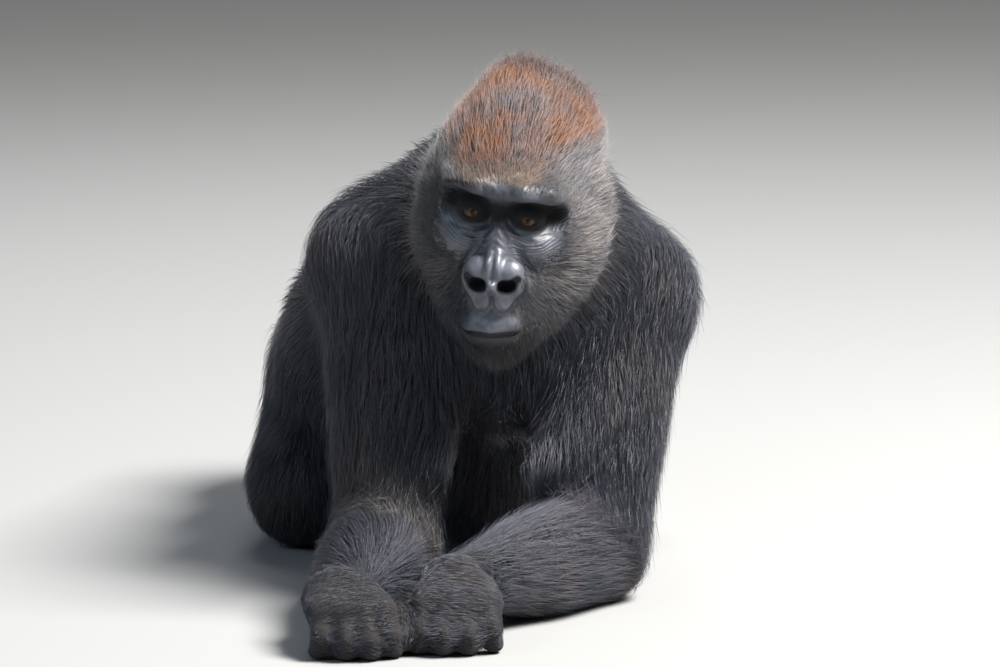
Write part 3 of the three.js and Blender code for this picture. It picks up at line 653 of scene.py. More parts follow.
def withPatches(mesh):  # the coarse face and ears are cut out, and the fine ones joined on round their rims
    body = bmesh.new()
    body.from_mesh(mesh)
    for patch, zone, surface in headPatches():
        centre = toHead(np.array([face.calc_center_median() for face in body.faces]))
        gone = [face for face, inside in zip(body.faces, zone(centre) < patch["cut"]) if inside]
        bmesh.ops.delete(body, geom=gone, context="FACES")
        keepLargest(body, list(body.faces))
        rim = [edge for edge in body.edges if edge.is_boundary]
        points, quads = patchMesh(patch, zone, surface)
        used, quads = np.unique(quads, return_inverse=True)
        made = [body.verts.new(place) for place in fromHead(points[used])]
        faces = [body.faces.new([made[corner] for corner in quad]) for quad in quads.reshape(-1, 4)]
        keepLargest(body, faces)
        faces = [face for face in faces if face.is_valid]
        rim += list({edge for face in faces for edge in face.edges if edge.is_boundary})
        bmesh.ops.bridge_loops(body, edges=rim)
        bmesh.ops.holes_fill(body, edges=[edge for edge in body.edges if edge.is_boundary], sides=0)
        print("patch faces", len(faces))
    loose = [vertex for vertex in body.verts if not vertex.link_faces]
    bmesh.ops.delete(body, geom=loose, context="VERTS")
    bmesh.ops.triangulate(body, faces=[face for face in body.faces if len(face.verts) > 4])
    bmesh.ops.recalc_face_normals(body, faces=body.faces)
    print("open edges in the skin", sum(edge.is_boundary for edge in body.edges))
    body.to_mesh(mesh)
    body.free()


crownDraw = {"middle": 20, "share": 0.2, "up": (66, 122), "centre": (0, 0, 40), "reach": (190, 150)}


def narrowed(p):  # the crown leans over to the left
    share = crownDraw["share"] * fade(p[:, 2], *crownDraw["up"])
    share *= fade(np.linalg.norm(p - crownDraw["centre"], axis=1), *crownDraw["reach"])
    x = np.where(p[:, 0] < crownDraw["middle"], (p[:, 0] - crownDraw["middle"]) * share, 0)
    return p - np.outer(x, (1, 0, 0))


def relaxedOnto(field, places, moved, edges):
    for turn in range(faceFinish["rounds"]):
        places[moved] = drawnTo(field, places[moved])
        if turn < faceFinish["rounds"] - 1:
            even = edgeAverage(places, edges, len(places))
            places[moved] += (even[moved] - places[moved]) * faceFinish["even"]


def makeSkin():
    mesh = bpy.data.meshes.new("skin")
    mesh.from_pydata(skinPoints.tolist(), [], skinQuads.tolist())
    body = bmesh.new()
    body.from_mesh(mesh)
    body.verts.ensure_lookup_table()

    def placesNow():
        return np.array([vertex.co for vertex in body.verts])

    for reach in faceFinish["finer"]:
        place = toHead(placesNow())
        refined(body, (faceZone(place) < reach) & (place[:, 1] < faceFinish["front"]))
    for reach in earFinish["finer"]:
        refined(body, both(earZone)(toHead(placesNow())) < reach)
    limbs = [limbEnd(name) for name in fleshNames if partOf(name) in fineForms]
    for limb in limbs:
        for _ in range(limb["form"]["cuts"]):
            refined(body, onLimb(limb, placesNow()))
    bmesh.ops.triangulate(body, faces=[face for face in body.faces if len(face.verts) > 4])
    body.to_mesh(mesh)
    body.free()
    place, edges = rowsOf(mesh.vertices, "co", 3), rowsOf(mesh.edges, "vertices", 2, int)
    for limb in limbs:

        def limbSurface(p, limb=limb):
            own = fineShare(limb, p * mm)
            return (own * sample(limb["volume"], p * mm) + (1 - own) * sample(skinGrid, p * mm)) / mm

        moved = np.nonzero(onLimb(limb, place))[0]
        places = place / mm
        relaxedOnto(limbSurface, places, moved, edges)
        place = places * mm
    headPlaces = toHead(place)
    zone = faceZone(headPlaces)
    around = (zone < faceFinish["finer"][0]) & (zone > facePatch["rim"] - faceFinish["overlap"])
    moved = np.nonzero(around & (headPlaces[:, 1] < faceFinish["front"]))[0]
    relaxedOnto(faceSurface, headPlaces, moved, edges)
    place[moved] = fromHead(headPlaces[moved])
    mesh.vertices.foreach_set("co", place.ravel())
    withPatches(mesh)
    place = fromHead(narrowed(toHead(rowsOf(mesh.vertices, "co", 3))))
    mesh.vertices.foreach_set("co", place.ravel())
    mesh.update()
    mesh.shade_smooth()
    return added("skin", mesh)


skin = makeSkin()
print("skin triangles", sum(len(face.vertices) - 2 for face in skin.data.polygons))


# Coat map: how the hair lies, how long it is and its markings, at each point of the skin
growth = {  # length, and how many tufts grow on a square metre
    "head": (0.040, 380e3), "neck": (0.054, 120e3), "chest": (0.054, 100e3), "belly": (0.050, 66e3),
    "rump": (0.050, 76e3), "upper_arm": (0.074, 142e3), "forearm": (0.062, 155e3), "hand": (0.018, 150e3),
    "thigh": (0.056, 70e3), "shin": (0.040, 80e3), "foot": (0.008, 40e3), "ear": (0.008, 60e3),
}
combing = {  # how much the hair turns down, or out over the forearm, and how often it is evened out
    "chest": 0.9, "belly": 0.7, "rump": 0.9, "neck": 0.7, "forearmOut": 0.75, "forearm": 0.25,
    "handAlong": 0.4, "thigh": 1.5, "shin": 0.8, "faceCentre": (0, -134, -10), "rounds": 14, "wayRounds": 26,
}


def sideOf(name):
    return 1 if name.endswith("_left") else -1


def jointsOf(side):
    names = ("upper_arm", "forearm", "hand", "thigh", "shin", "foot")
    arm, fore, hand, thigh, shin, foot = (f"{name}_{side}" for name in names)
    return {
        "shoulder": meeting(arm, "chest"), "elbow": meeting(arm, fore), "wrist": meeting(fore, hand),
        "hip": meeting(thigh, "rump"), "knee": meeting(thigh, shin), "ankle": meeting(shin, foot),
        "hand": middle(hand), "foot": middle(foot),
    }


skinNow = rowsOf(skin.data.vertices, "co", 3)
skinNormals = rowsOf(skin.data.vertices, "normal", 3)
skinEdges = rowsOf(skin.data.edges, "vertices", 2, int)
skinParts = nearestPart(skinNow)
skinZone = faceZone(toHead(skinNow))
joints = {side: jointsOf(side) for side in ("right", "left")}
neckBase = meeting("neck", "chest")
skullBase = meeting("head", "neck")


def wayOf(name, place, normal):  # the direction in which a part's hair lies
    side = sideOf(name)
    part = partOf(name)
    at = joints["left" if side > 0 else "right"]
    down, back, out = np.array(((0, 0, -1.0), (0, 1.0, 0), (side, 0, 0)))
    if part == "head":
        return (toHead(place) - combing["faceCentre"]) @ headAxes.T
    if part in ("chest", "belly", "rump"):
        return back + down * combing[part] * np.clip(1 - normal[:, 2:], 0, 1)
    run = {
        "ear": back,
        "neck": unit(neckBase - skullBase) + down * combing["neck"],
        "upper_arm": at["elbow"] - at["shoulder"],
        "forearm": unit(at["elbow"] - at["wrist"]) + out * combing["forearmOut"] + down * combing["forearm"],
        "hand": unit(at["hand"] - at["wrist"]) * combing["handAlong"] + out,
        "thigh": unit(at["knee"] - at["hip"]) + down * combing["thigh"],
        "shin": unit(at["ankle"] - at["knee"]) + down * combing["shin"],
        "foot": at["foot"] - at["ankle"],
    }[part]
    return np.tile(unit(run), (len(place), 1))


def spread(values, rounds):
    for _ in range(rounds):
        values = (values + edgeAverage(values, skinEdges, len(skinNow))) / 2
    return values


def coatMap():
    length, crowd, depth = np.empty((3, len(skinNow)))
    way = np.empty((len(skinNow), 3))
    for index, name in enumerate(fleshNames):
        mine = skinParts == index
        length[mine], crowd[mine] = growth[partOf(name)]
        depth[mine] = coatDepth[partOf(name)]
        way[mine] = unit(wayOf(name, skinNow[mine], skinNormals[mine]))
    for _ in range(combing["wayRounds"]):
        way = (way + edgeAverage(way, skinEdges, len(skinNow))) / 2
        way = unit(way - rowDot(way, skinNormals) * skinNormals)
    return spread(length, combing["rounds"]), crowd, spread(depth, combing["rounds"]), way


print("coat map")
hairLength, hairCrowd, hairDepth, hairWay = coatMap()
trim = {  # where the hair changes, in millimetres of the head, and by how much
    "bare": (8, -8), "faceLength": (0.28, -2, 40), "faceDepth": (0.12, 0, 26),
    "beard": (52, 26), "beardMiddle": (0, -100, -128), "beardLonger": 0.6, "beardDeeper": 0.8,
    "earBare": (-4, 3), "earLength": (0.4, 0, 26), "earDepth": (0.4, 0, 20),
    "insideArm": 0.4, "armRounds": 6,
}
floorBare = {"height": (0.012, 0.004), "facing": (-0.6, -0.9)}
earRoom = both(ball((90, 4, 15), (16, 14, 22)))


def grownBack(field, least, start, end):  # from the least share at start to all of it at end
    return least + (1 - least) * fade(field, start, end)


hairless = fade(skinZone, *trim["bare"])  # 1 on the bare face
hairLength *= grownBack(skinZone, *trim["faceLength"])
hairDepth *= grownBack(skinZone, *trim["faceDepth"])
beard = fade(np.linalg.norm(toHead(skinNow) - trim["beardMiddle"], axis=1), *trim["beard"])
hairLength *= 1 + trim["beardLonger"] * beard
hairDepth *= 1 + trim["beardDeeper"] * beard
fromEar = earRoom(toHead(skinNow))  # the hair leaves the ears free
hairCrowd *= fade(fromEar, *trim["earBare"])
hairLength *= grownBack(fromEar, *trim["earLength"])
hairDepth *= grownBack(fromEar, *trim["earDepth"])
inward = [  # long hair hangs from the insides of the arms
    -sideOf(fleshNames[index]) * skinNormals[:, 0] * (skinParts == index)
    for index in indicesOf("upper_arm")
]
hairLength *= 1 + trim["insideArm"] * spread(np.clip(sum(inward), 0, 1), trim["armRounds"])
underneath = fade(skinNow[:, 2], *floorBare["height"]) * fade(skinNormals[:, 2], *floorBare["facing"])
hairCrowd *= (1 - hairless) * (1 - underneath)


# Markings: rust, tan and grey, shared by skin and coat
greyPlaces = [  # the brownish inside of the right arm, the throat, and a faint spot on the left arm
    (joints["right"]["elbow"] + np.array((0.004, -0.043, 0.05)), 0.1, 1),
    (neckBase + np.array((-0.02, -0.16, -0.10)), 0.08, 0.5),
    (joints["left"]["shoulder"] + np.array((0.014, -0.114, 0.037)), 0.026, 1.6),
]
marking = {  # where each colour fades in, in millimetres of the head, and what takes some of it away
    "headMiddle": (0, -10, 20), "head": (150, 110), "forehead": (-60, -80), "core": 0.4,
    "rust": {"up": (62, 72), "front": (-116, -96), "sides": (86, 60), "least": 0.3},
    "valley": {"y": -42, "slope": 0.2, "wide": (26, 8), "up": (84, 104), "takes": 0.75},
    "parting": {"x": 16, "wide": (24, 6), "front": (-30, -60), "takes": 0.45},
    "tan": {"z": 62, "high": (6, 3), "zone": (-3, 1), "sides": (52, 30)},
    "grey": {"zone": (0, 12), "up": (80, 40), "least": 0.55, "z": 66, "high": (18, 6), "takes": 0.45},
}


def markings(place):
    p = toHead(place)
    x, y, z = p.T
    zone = faceZone(p)
    headward = fade(np.linalg.norm(p - marking["headMiddle"], axis=1), *marking["head"])
    forehead = fade(y, *marking["forehead"])
    at = marking["rust"]
    rust = headward * fade(z, *at["up"]) * fade(y, *at["front"])
    rust *= grownBack(np.abs(x), at["least"], *at["sides"])
    at = marking["valley"]
    valley = fade(np.abs(y - at["y"] - at["slope"] * x), *at["wide"]) * fade(z, *at["up"])
    rust *= 1 - at["takes"] * valley
    at = marking["parting"]
    rust *= 1 - at["takes"] * fade(np.abs(x - at["x"]), *at["wide"]) * fade(y, *at["front"])
    at = marking["tan"]
    tan = headward * fade(np.abs(z - at["z"]), *at["high"]) * fade(zone, *at["zone"]) * forehead
    tan *= fade(np.abs(x), *at["sides"])
    at = marking["grey"]
    grey = headward * fade(zone, *at["zone"]) * grownBack(z, at["least"], *at["up"])
    grey *= 1 - at["takes"] * fade(np.abs(z - at["z"]), *at["high"]) * forehead
    for centre, radius, amount in greyPlaces:
        away = np.linalg.norm(place - centre, axis=1)
        grey = np.maximum(grey, amount * fade(away, radius, radius * marking["core"]))
    return np.stack([rust, tan, grey], 1)


# where painted shade darkens the eye sockets and the dip between the eyes, below the brow
socketShade = joined(
    10,
    both(ball((34, -104, 24), (30, 24, 19))),
    both(ball((54, -90, 25), (16, 22, 13))),
    ball((0, -118, 26), (16, 20, 13)),
)
# where the bare skin, the painted shade, the stubbled lip edges and the brown places fade in
baring = {
    "sockets": (4, -5), "openings": (3, 0.5), "openingsFront": (-110, -120), "openingsDark": 0.8,
    "lips": (-15, -2), "lipsUp": (-66, -82), "lipsDark": 0.6, "brow": (34, 46), "browFront": (-40, -80),
    "browBrown": 0.1, "earBrown": 0.8, "limbRounds": 4, "earRounds": 2,
}


def bareness(place):  # bare skin, painted shade in the eye sockets, nostrils and mouth line with darker stubbled lip edges, and brown knuckles and ears
    p = leaning(toHead(place))
    y, z = p[:, 1], p[:, 2]
    # painted shade inside the nostrils and along the mouth line
    openings = fade(np.minimum(nostrils(p), mouthLine(p)), *baring["openings"])
    openings *= fade(y, *baring["openingsFront"])
    roundLips = fade(faceZone(p), *baring["lips"]) * fade(z, *baring["lipsUp"])
    # the second channel is painted shade in the sockets, between the eyes and in the openings, plus darker
    # stubble at the lip edges
    dark = np.maximum(fade(socketShade(p), *baring["sockets"]), baring["openingsDark"] * openings)
    dark = np.maximum(dark, baring["lipsDark"] * roundLips)
    limbs = spread(np.isin(skinParts, indicesOf("hand", "foot")).astype(float), baring["limbRounds"])
    ears = np.isin(skinParts, indicesOf("ear")).astype(float)
    brow = baring["browBrown"] * fade(z, *baring["brow"]) * fade(y, *baring["browFront"])
    brown = np.maximum(np.maximum(limbs, baring["earBrown"] * spread(ears, baring["earRounds"])), brow)
    return np.stack([np.maximum(np.maximum(hairless, limbs), ears), dark, brown], 1)


skinMarks = markings(skinNow)
addVectors(skin.data, "marks", skinMarks)
addVectors(skin.data, "bareness", bareness(skinNow))
addVectors(skin.data, "folds", foldField(leaning(toHead(skinNow))))


# Coat: solid tufts that rise off the skin and lie along it
tuft = {
    "width": 0.00095, "flat": 0.5, "clump": 8, "gather": 0.38, "gatherBend": 1.3, "patch": 0.003,
    "steps": (0, 0.4, 1), "rise": (-0.12, 0.75, 1.1), "girth": (0.9, 1, 0), "down": 0.8, "seed": 11,
    "fall": 0.7, "climb": 0.9, "turns": (90, 210, 330), "unwrap": 0.98, "unwrapFrom": 0.008,
    "lengths": (0.7, 1.2), "depths": (0.5, 1.25), "widths": (0.6, 1.15), "standOff": 0.6, "usual": 0.05,
    "thinnest": 0.35, "onArms": 0.82, "stray": 0.15, "strayOnHead": 1.7,
}
crownTuft = {  # the raised hair at the back of the crown, and the painted shade that darkens the back of the head
    "up": (84, 112), "start": (0, 40), "end": (100, 64), "depth": 0.35, "deeper": 0.9, "longer": 0.25,
    "darkBack": (-20, 30), "darkUp": (80, 105), "dark": 0.52,
}
lowest = {"path": 0.0015, "tuft": 0.0004}  # how near to the floor hair may come
cheekTop = 30


def finishedGrid():
    corners = trianglesOf(skin.data)
    values, low, step = skinGrid
    filled = distancesIn(distanceGrid(skinNow, triangles=corners), low, values.shape, step)
    slope = np.stack(np.gradient(filled, step), -1).astype(np.float32)
    return (np.concatenate([filled[..., None], slope], -1), low, step), corners


def sow(corners, random):  # roots spread over the skin by its crowd map
    a, b, c = skinNow[corners].transpose(1, 0, 2)
    area = np.linalg.norm(np.cross(b - a, c - a), axis=1) / 2
    wanted = area * hairCrowd[corners].mean(1)
    count = np.floor(wanted + random.random(len(wanted))).astype(int)
    face = np.repeat(np.arange(len(corners)), count)
    share = random.random((len(face), 2))
    share = np.where(share.sum(1, keepdims=True) > 1, 1 - share, share)
    return face, np.column_stack([1 - share.sum(1), share])


def traced(roots, normals, ways, lengths, depths):
    here = roots + normals * depths[:, None] * tuft["rise"][0]
    way = ways
    path = [here]
    for k in range(1, len(tuft["steps"])):
        stride = lengths * (tuft["steps"][k] - tuft["steps"][k - 1])
        there = here + way * stride[:, None]
        known = sample(finished, there)
        up = unit(known[:, 1:])
        miss = depths * tuft["rise"][k] - known[:, 0]
        there = there + up * np.clip(miss, -stride * tuft["fall"], stride * tuft["climb"])[:, None]
        there[:, 2] = np.maximum(there[:, 2], lowest["path"])
        way = unit(there - here)
        way = unit(way - rowDot(way, up) * up * tuft["down"])
        path.append(there)
        here = there
    return np.stack(path, 1)


def gathered(path, random):  # tufts lean towards the one in the middle of their lock
    leaders = random.choice(len(path), max(1, len(path) // tuft["clump"]), replace=False)
    tree = KDTree(len(leaders))
    for index, leader in enumerate(leaders):
        tree.insert(path[leader, 0], index)
    tree.balance()
    nearest = np.array([leaders[tree.find(root)[1]] for root in path[:, 0]])
    pull = tuft["gather"] * random.random(len(path)) ** 0.5
    for k in range(1, path.shape[1]):
        share = (pull * tuft["steps"][k] ** tuft["gatherBend"])[:, None]
        path[:, k] += (path[nearest, k] - path[:, k]) * share
    return path


def tuftPoints(path, widths):  # a flat three-sided spindle along each path
    up = unit(sample(finished, path[:, 0])[:, 1:])
    run = unit(path[:, -1] - path[:, 0])
    across = unit(np.cross(run, up))
    above = unit(np.cross(across, run))
    corners = []
    for k in range(path.shape[1] - 1):
        for turn in tuft["turns"]:
            wide = math.cos(math.radians(turn)) * widths * tuft["girth"][k]
            thick = math.sin(math.radians(turn)) * widths * tuft["girth"][k] * tuft["flat"]
            corners.append(path[:, k] + across * wide[:, None] + above * thick[:, None])
    points = np.stack([*corners, path[:, -1]], 1)
    points[:, :, 2] = np.maximum(points[:, :, 2], lowest["tuft"])
    return points


def tuftFaces(rings):  # the faces of one tuft, and each corner's place on its unwrapped patch
    faces, places = [], []
    for k in range(rings):
        low, high = tuft["steps"][k : k + 2]
        for j in range(3):
            a, b = 3 * k + j, 3 * k + (j + 1) % 3
            left, right = j / 3, (j + 1) / 3
            if k < rings - 1:
                faces += [(a, b, b + 3), (a, b + 3, a + 3)]
                places.append(((left, low), (right, low), (right, high)))
                places.append(((left, low), (right, high), (left, high)))
            else:
                faces.append((a, b, 3 * rings))
                places.append(((left, low), (right, low), ((left + right) / 2, high)))
    return np.array(faces), np.array(places)


# The skin under a piece of coat laid flat: round its long axis, and along it.
def unwrapped(roots):
    centred = roots - roots.mean(0)
    axes = np.linalg.svd(centred, full_matrices=False)[2]
    along, across, up = (centred @ axes.T).T
    around = np.arctan2(up, across) / (2 * math.pi) + 0.5
    straight = (along - along.min()) / (np.ptp(along) + 1e-9)
    return np.column_stack([around, straight]) * tuft["unwrap"] + tuft["unwrapFrom"]


def tuftMesh(name, path, widths, marks, tones, darks):
    count, rings = path.shape[0], path.shape[1] - 1
    points = tuftPoints(path, widths)
    perTuft = points.shape[1]
    faces, places = tuftFaces(rings)
    triangles = (faces[None] + np.arange(count)[:, None, None] * perTuft).reshape(-1)
    mesh = bpy.data.meshes.new(name)
    mesh.vertices.add(count * perTuft)
    mesh.vertices.foreach_set("co", points.astype(np.float32).ravel())
    mesh.loops.add(len(triangles))
    mesh.loops.foreach_set("vertex_index", triangles.astype(np.int32))
    mesh.polygons.add(len(triangles) // 3)
    mesh.polygons.foreach_set("loop_start", np.arange(0, len(triangles), 3, dtype=np.int32))
    mesh.update(calc_edges=True)
    patch = places.reshape(1, -1, 2) * tuft["patch"]
    unwrap = mesh.uv_layers.new(name="OFBake")
    unwrap.data.foreach_set("uv", (unwrapped(path[:, 0])[:, None] + patch).astype(np.float32).ravel())
    along = np.repeat(tuft["steps"][:rings], 3).tolist() + [1]
    # each strand carries how far along it a point lies, its tone, and painted shade for the back of the
    # crown
    strand = np.stack([np.tile(along, count), np.repeat(tones, perTuft), np.repeat(darks, perTuft)], 1)
    addVectors(mesh, "marks", np.repeat(marks, perTuft, axis=0))
    addVectors(mesh, "strand", strand)
    mesh.shade_smooth()
    return mesh


finished, skinCorners = finishedGrid()
coatRandom = np.random.default_rng(tuft["seed"])
rootFace, rootWeight = sow(skinCorners, coatRandom)


def atRoots(values, chosen):
    corners = skinCorners[rootFace[chosen]]
    return np.einsum("nc,nc...->n...", rootWeight[chosen], values[corners])


def coatGroups():
    part = skinParts[skinCorners[rootFace, 0]]
    groups = {name: np.nonzero(part == index)[0] for index, name in enumerate(fleshNames)}
    for side in ("right", "left"):
        groups.pop("ear_" + side)
    head = groups.pop("head")
    x, _, z = toHead(atRoots(skinNow, head)).T
    groups["crown"] = head[z > cheekTop]
    groups["cheekRight"] = head[(z <= cheekTop) & (x < 0)]
    groups["cheekLeft"] = head[(z <= cheekTop) & (x >= 0)]
    return groups


def makeCoat(name, chosen):
    random = coatRandom
    count = len(chosen)
    root = atRoots(skinNow, chosen)
    normal = unit(atRoots(skinNormals, chosen))
    onHead = name in ("crown", "cheekRight", "cheekLeft")
    stray = tuft["stray"] * (tuft["strayOnHead"] if onHead else 1)
    way = atRoots(hairWay, chosen) + random.normal(0, stray, (count, 3))
    way = unit(way - rowDot(way, normal) * normal)
    length = atRoots(hairLength, chosen) * random.uniform(*tuft["lengths"], count)
    depth = atRoots(hairDepth, chosen) * random.uniform(*tuft["depths"], count)
    depth *= 1 + tuft["standOff"] * random.random(count) ** 6  # a few stand off
    # painted shade that darkens the tufts at the back of the crown; none off the head
    dark = np.zeros(count)
    if onHead:
        _, y, z = toHead(root).T
        dark = crownTuft["dark"] * fade(y, *crownTuft["darkBack"]) * fade(z, *crownTuft["darkUp"])
        raised = fade(z, *crownTuft["up"]) * fade(y, *crownTuft["start"]) * fade(y, *crownTuft["end"])
        depth *= 1 + random.random(count) * (crownTuft["depth"] + crownTuft["deeper"] * raised)
        length *= 1 + crownTuft["longer"] * raised
    path = gathered(traced(root, normal, way, length, depth), random)
    width = tuft["width"] * np.clip(length / tuft["usual"], tuft["thinnest"], 1) ** 0.6
    width *= random.uniform(*tuft["widths"], count) / 2
    width *= tuft["onArms"] if "arm" in name else 1
    tone = random.random(count)
    mesh = tuftMesh("coat." + name, path, width, atRoots(skinMarks, chosen), tone, dark)
    coat = added(mesh.name, mesh)
    print("  ", coat.name, len(coat.data.polygons))
    return coat


print("coat")
coats = [makeCoat(name, chosen) for name, chosen in coatGroups().items() if len(chosen)]
print("coat triangles", sum(len(coat.data.polygons) for coat in coats))


# Studio and camera
view = {"turn": -14, "lift": 9, "distance": 7.5, "lens": 250, "sensor": 36}
viewAim = (0.0023, -0.2283, 0.2902)
lights = {  # place, aim, size, power and colour
    "keyLight": ((2.4, -1.7, 4.4), (0, -0.2, 0.3), 2.3, 930, (1, 0.985, 0.96)),
    "fillLight": ((-3.4, -2.0, 2.6), (0, -0.2, 0.3), 2.4, 40, (0.6, 0.8, 1)),
    "backLight": ((0.4, 2.8, 2.8), (0, 0, 0.35), 1.4, 50, (0.95, 0.97, 1)),
}
studio = {
    "floor": 26, "rings": (0.02, 0.1, 0.3, 0.65, 1), "curve": 6, "wall": 4, "steps": 12, "around": 96,
    "paper": (0.32, 0.32, 0.317), "rough": 0.9, "air": (0.8, 0.85, 0.92), "airStrength": 0.12,
}


def makeCamera():
    turn, lift = math.radians(view["turn"]), math.radians(view["lift"])
    away = Vector((math.sin(turn) * math.cos(lift), -math.cos(turn) * math.cos(lift), math.sin(lift)))
    camera = added("camera", bpy.data.cameras.new("camera"))
    camera.data.lens = view["lens"]
    camera.data.sensor_width = view["sensor"]
    camera.location = Vector(viewAim) + away * view["distance"]
    camera.rotation_euler = away.to_track_quat("Z", "Y").to_euler()
    bpy.context.scene.camera = camera


def softLight(name, place, aim, size, power, colour):
    light = bpy.data.lights.new(name, "AREA")
    light.size, light.energy, light.color = size, power, colour
    lamp = added(name, light)
    lamp.location = place
    lamp.rotation_euler = (Vector(place) - Vector(aim)).to_track_quat("Z", "Y").to_euler()


def floorMesh():  # a pale floor that curves up all round, like paper in a studio
    flat, curve, count = studio["floor"], studio["curve"], studio["around"]
    profile = [(flat * share, 0) for share in studio["rings"]]
    bends = [math.radians(90 * step / studio["steps"]) for step in range(1, studio["steps"] + 1)]
    profile += [(flat + curve * math.sin(bend), curve * (1 - math.cos(bend))) for bend in bends]
    profile.append((flat + curve, curve + studio["wall"]))
    turns = [2 * math.pi * step / count for step in range(count)]
    points = [(r * math.cos(turn), r * math.sin(turn), z) for r, z in profile for turn in turns]
    faces = [face[::-1] for face in ringFaces(len(profile) - 1, count)]  # facing up
    mesh = bpy.data.meshes.new("floor")
    mesh.from_pydata(points, [], [*faces, tuple(range(count))])
    mesh.shade_smooth()
    return mesh


def newMaterial(name, **values):
    material = bpy.data.materials.new(name)
    material.use_nodes = True
    shader = material.node_tree.nodes["Principled BSDF"]
    for socket, value in values.items():
        shader.inputs[socket].default_value = value
    return material, material.node_tree, shader


print("studio")
makeCamera()
for name, lamp in lights.items():
    softLight(name, *lamp)
world = bpy.data.worlds.new("studio")
bpy.context.scene.world = world
world.use_nodes = True
world.node_tree.nodes["Background"].inputs["Color"].default_value = (*studio["air"], 1)
world.node_tree.nodes["Background"].inputs["Strength"].default_value = studio["airStrength"]
bpy.context.scene.view_settings.view_transform = "Standard"
floor = added("floor", floorMesh())
paper = newMaterial("paper", **{"Base Color": (*studio["paper"], 1), "Roughness": studio["rough"]})[0]
floor.data.materials.append(paper)


# Finishes
def wired(tree, socket, value):  # a number or a colour is set, anything else is linked
    if isinstance(value, tuple):
        socket.default_value = (*value, 1)
    elif isinstance(value, (int, float)):
        socket.default_value = value
    else:
        tree.links.new(value, socket)


def mixColour(tree, factor, a, b):
    mix = tree.nodes.new("ShaderNodeMix")
    mix.data_type = "RGBA"
    for index, value in ((0, factor), (6, a), (7, b)):
        wired(tree, mix.inputs[index], value)
    return mix.outputs[2]


def maths(tree, operation, a, b=0):
    step = tree.nodes.new("ShaderNodeMath")
    step.operation = operation
    wired(tree, step.inputs[0], a)
    wired(tree, step.inputs[1], b)
    return step.outputs[0]


def times(tree, a, b):
    return maths(tree, "MULTIPLY", a, b)


def plus(tree, a, b):
    return maths(tree, "ADD", a, b)


def attributeParts(tree, name):
    read = tree.nodes.new("ShaderNodeAttribute")
    read.attribute_name = name
    split = tree.nodes.new("ShaderNodeSeparateXYZ")
    tree.links.new(read.outputs["Vector"], split.inputs[0])
    return split.outputs


def texture(tree, kind, vector, **inputs):
    made = tree.nodes.new("ShaderNodeTex" + kind)
    tree.links.new(vector, made.inputs["Vector"])
    for key, value in inputs.items():
        made.inputs[key].default_value = value
    return made.outputs["Fac" if kind == "Noise" else "Distance"]


def placeOn(tree):
    return tree.nodes.new("ShaderNodeTexCoord").outputs["Object"]


def ramp(tree, factor, *stops):
    made = tree.nodes.new("ShaderNodeValToRGB")
    tree.links.new(factor, made.inputs[0])
    for element, (place, grey) in zip(made.color_ramp.elements, stops):
        element.position = place
        element.color = (grey, grey, grey, 1)
    return made.outputs[0]


def bumped(tree, height, strength, distance, below=None):
    made = tree.nodes.new("ShaderNodeBump")
    made.inputs["Strength"].default_value = strength
    made.inputs["Distance"].default_value = distance
    tree.links.new(height, made.inputs["Height"])
    if below:
        tree.links.new(below, made.inputs["Normal"])
    return made.outputs[0]


coatLook = {
    "root": (0.015, 0.0163, 0.021), "tip": (0.25, 0.265, 0.335), "rust": (0.28, 0.13, 0.071),
    "tan": (0.31, 0.2, 0.125), "grey": (0.36, 0.33, 0.31), "brown": (0.17, 0.13, 0.11),
    "patches": {"Scale": 34, "Detail": 4, "Roughness": 0.65}, "greyPatches": ((0.36, 0.35), (0.6, 1.0)),
    "rustPatches": ((0.36, 0.3), (0.56, 0.95)), "cloud": {"Scale": 9, "Detail": 3, "Roughness": 0.6},
    "brownPatches": ((0.5, 0.0), (0.68, 0.7)), "ofTuft": 0.5, "ofCloud": 0.75, "tipBend": 1.2,
    "markAtRoot": 0.45, "markGain": 0.5, "shadeAtRoot": 0.35, "shadeOfTuft": 0.25,
    "shader": {"Roughness": 0.42, "Specular IOR Level": 0.45},
}


def markingsGroup():  # rust, tan and grey over a colour, for the skin and the coat alike
    group = bpy.data.node_groups.new("markings", "ShaderNodeTree")
    group.interface.new_socket("Under", in_out="INPUT", socket_type="NodeSocketColor")
    group.interface.new_socket("Share", in_out="INPUT", socket_type="NodeSocketFloat")
    group.interface.new_socket("Colour", in_out="OUTPUT", socket_type="NodeSocketColor")
    given = group.nodes.new("NodeGroupInput").outputs
    patches = texture(group, "Noise", placeOn(group), **coatLook["patches"])
    marks = attributeParts(group, "marks")
    greyed = times(group, marks[2], ramp(group, patches, *coatLook["greyPatches"]))
    colour = mixColour(group, times(group, greyed, given["Share"]), given["Under"], coatLook["grey"])
    rusty = times(group, marks[0], ramp(group, patches, *coatLook["rustPatches"]))
    colour = mixColour(group, rusty, colour, coatLook["rust"])
    colour = mixColour(group, times(group, marks[1], given["Share"]), colour, coatLook["tan"])
    group.links.new(colour, group.nodes.new("NodeGroupOutput").inputs["Colour"])
    return group


def marked(tree, colour, share):
    step = tree.nodes.new("ShaderNodeGroup")
    step.node_tree = markingsFinish
    wired(tree, step.inputs["Under"], colour)
    wired(tree, step.inputs["Share"], share)
    return step.outputs["Colour"]


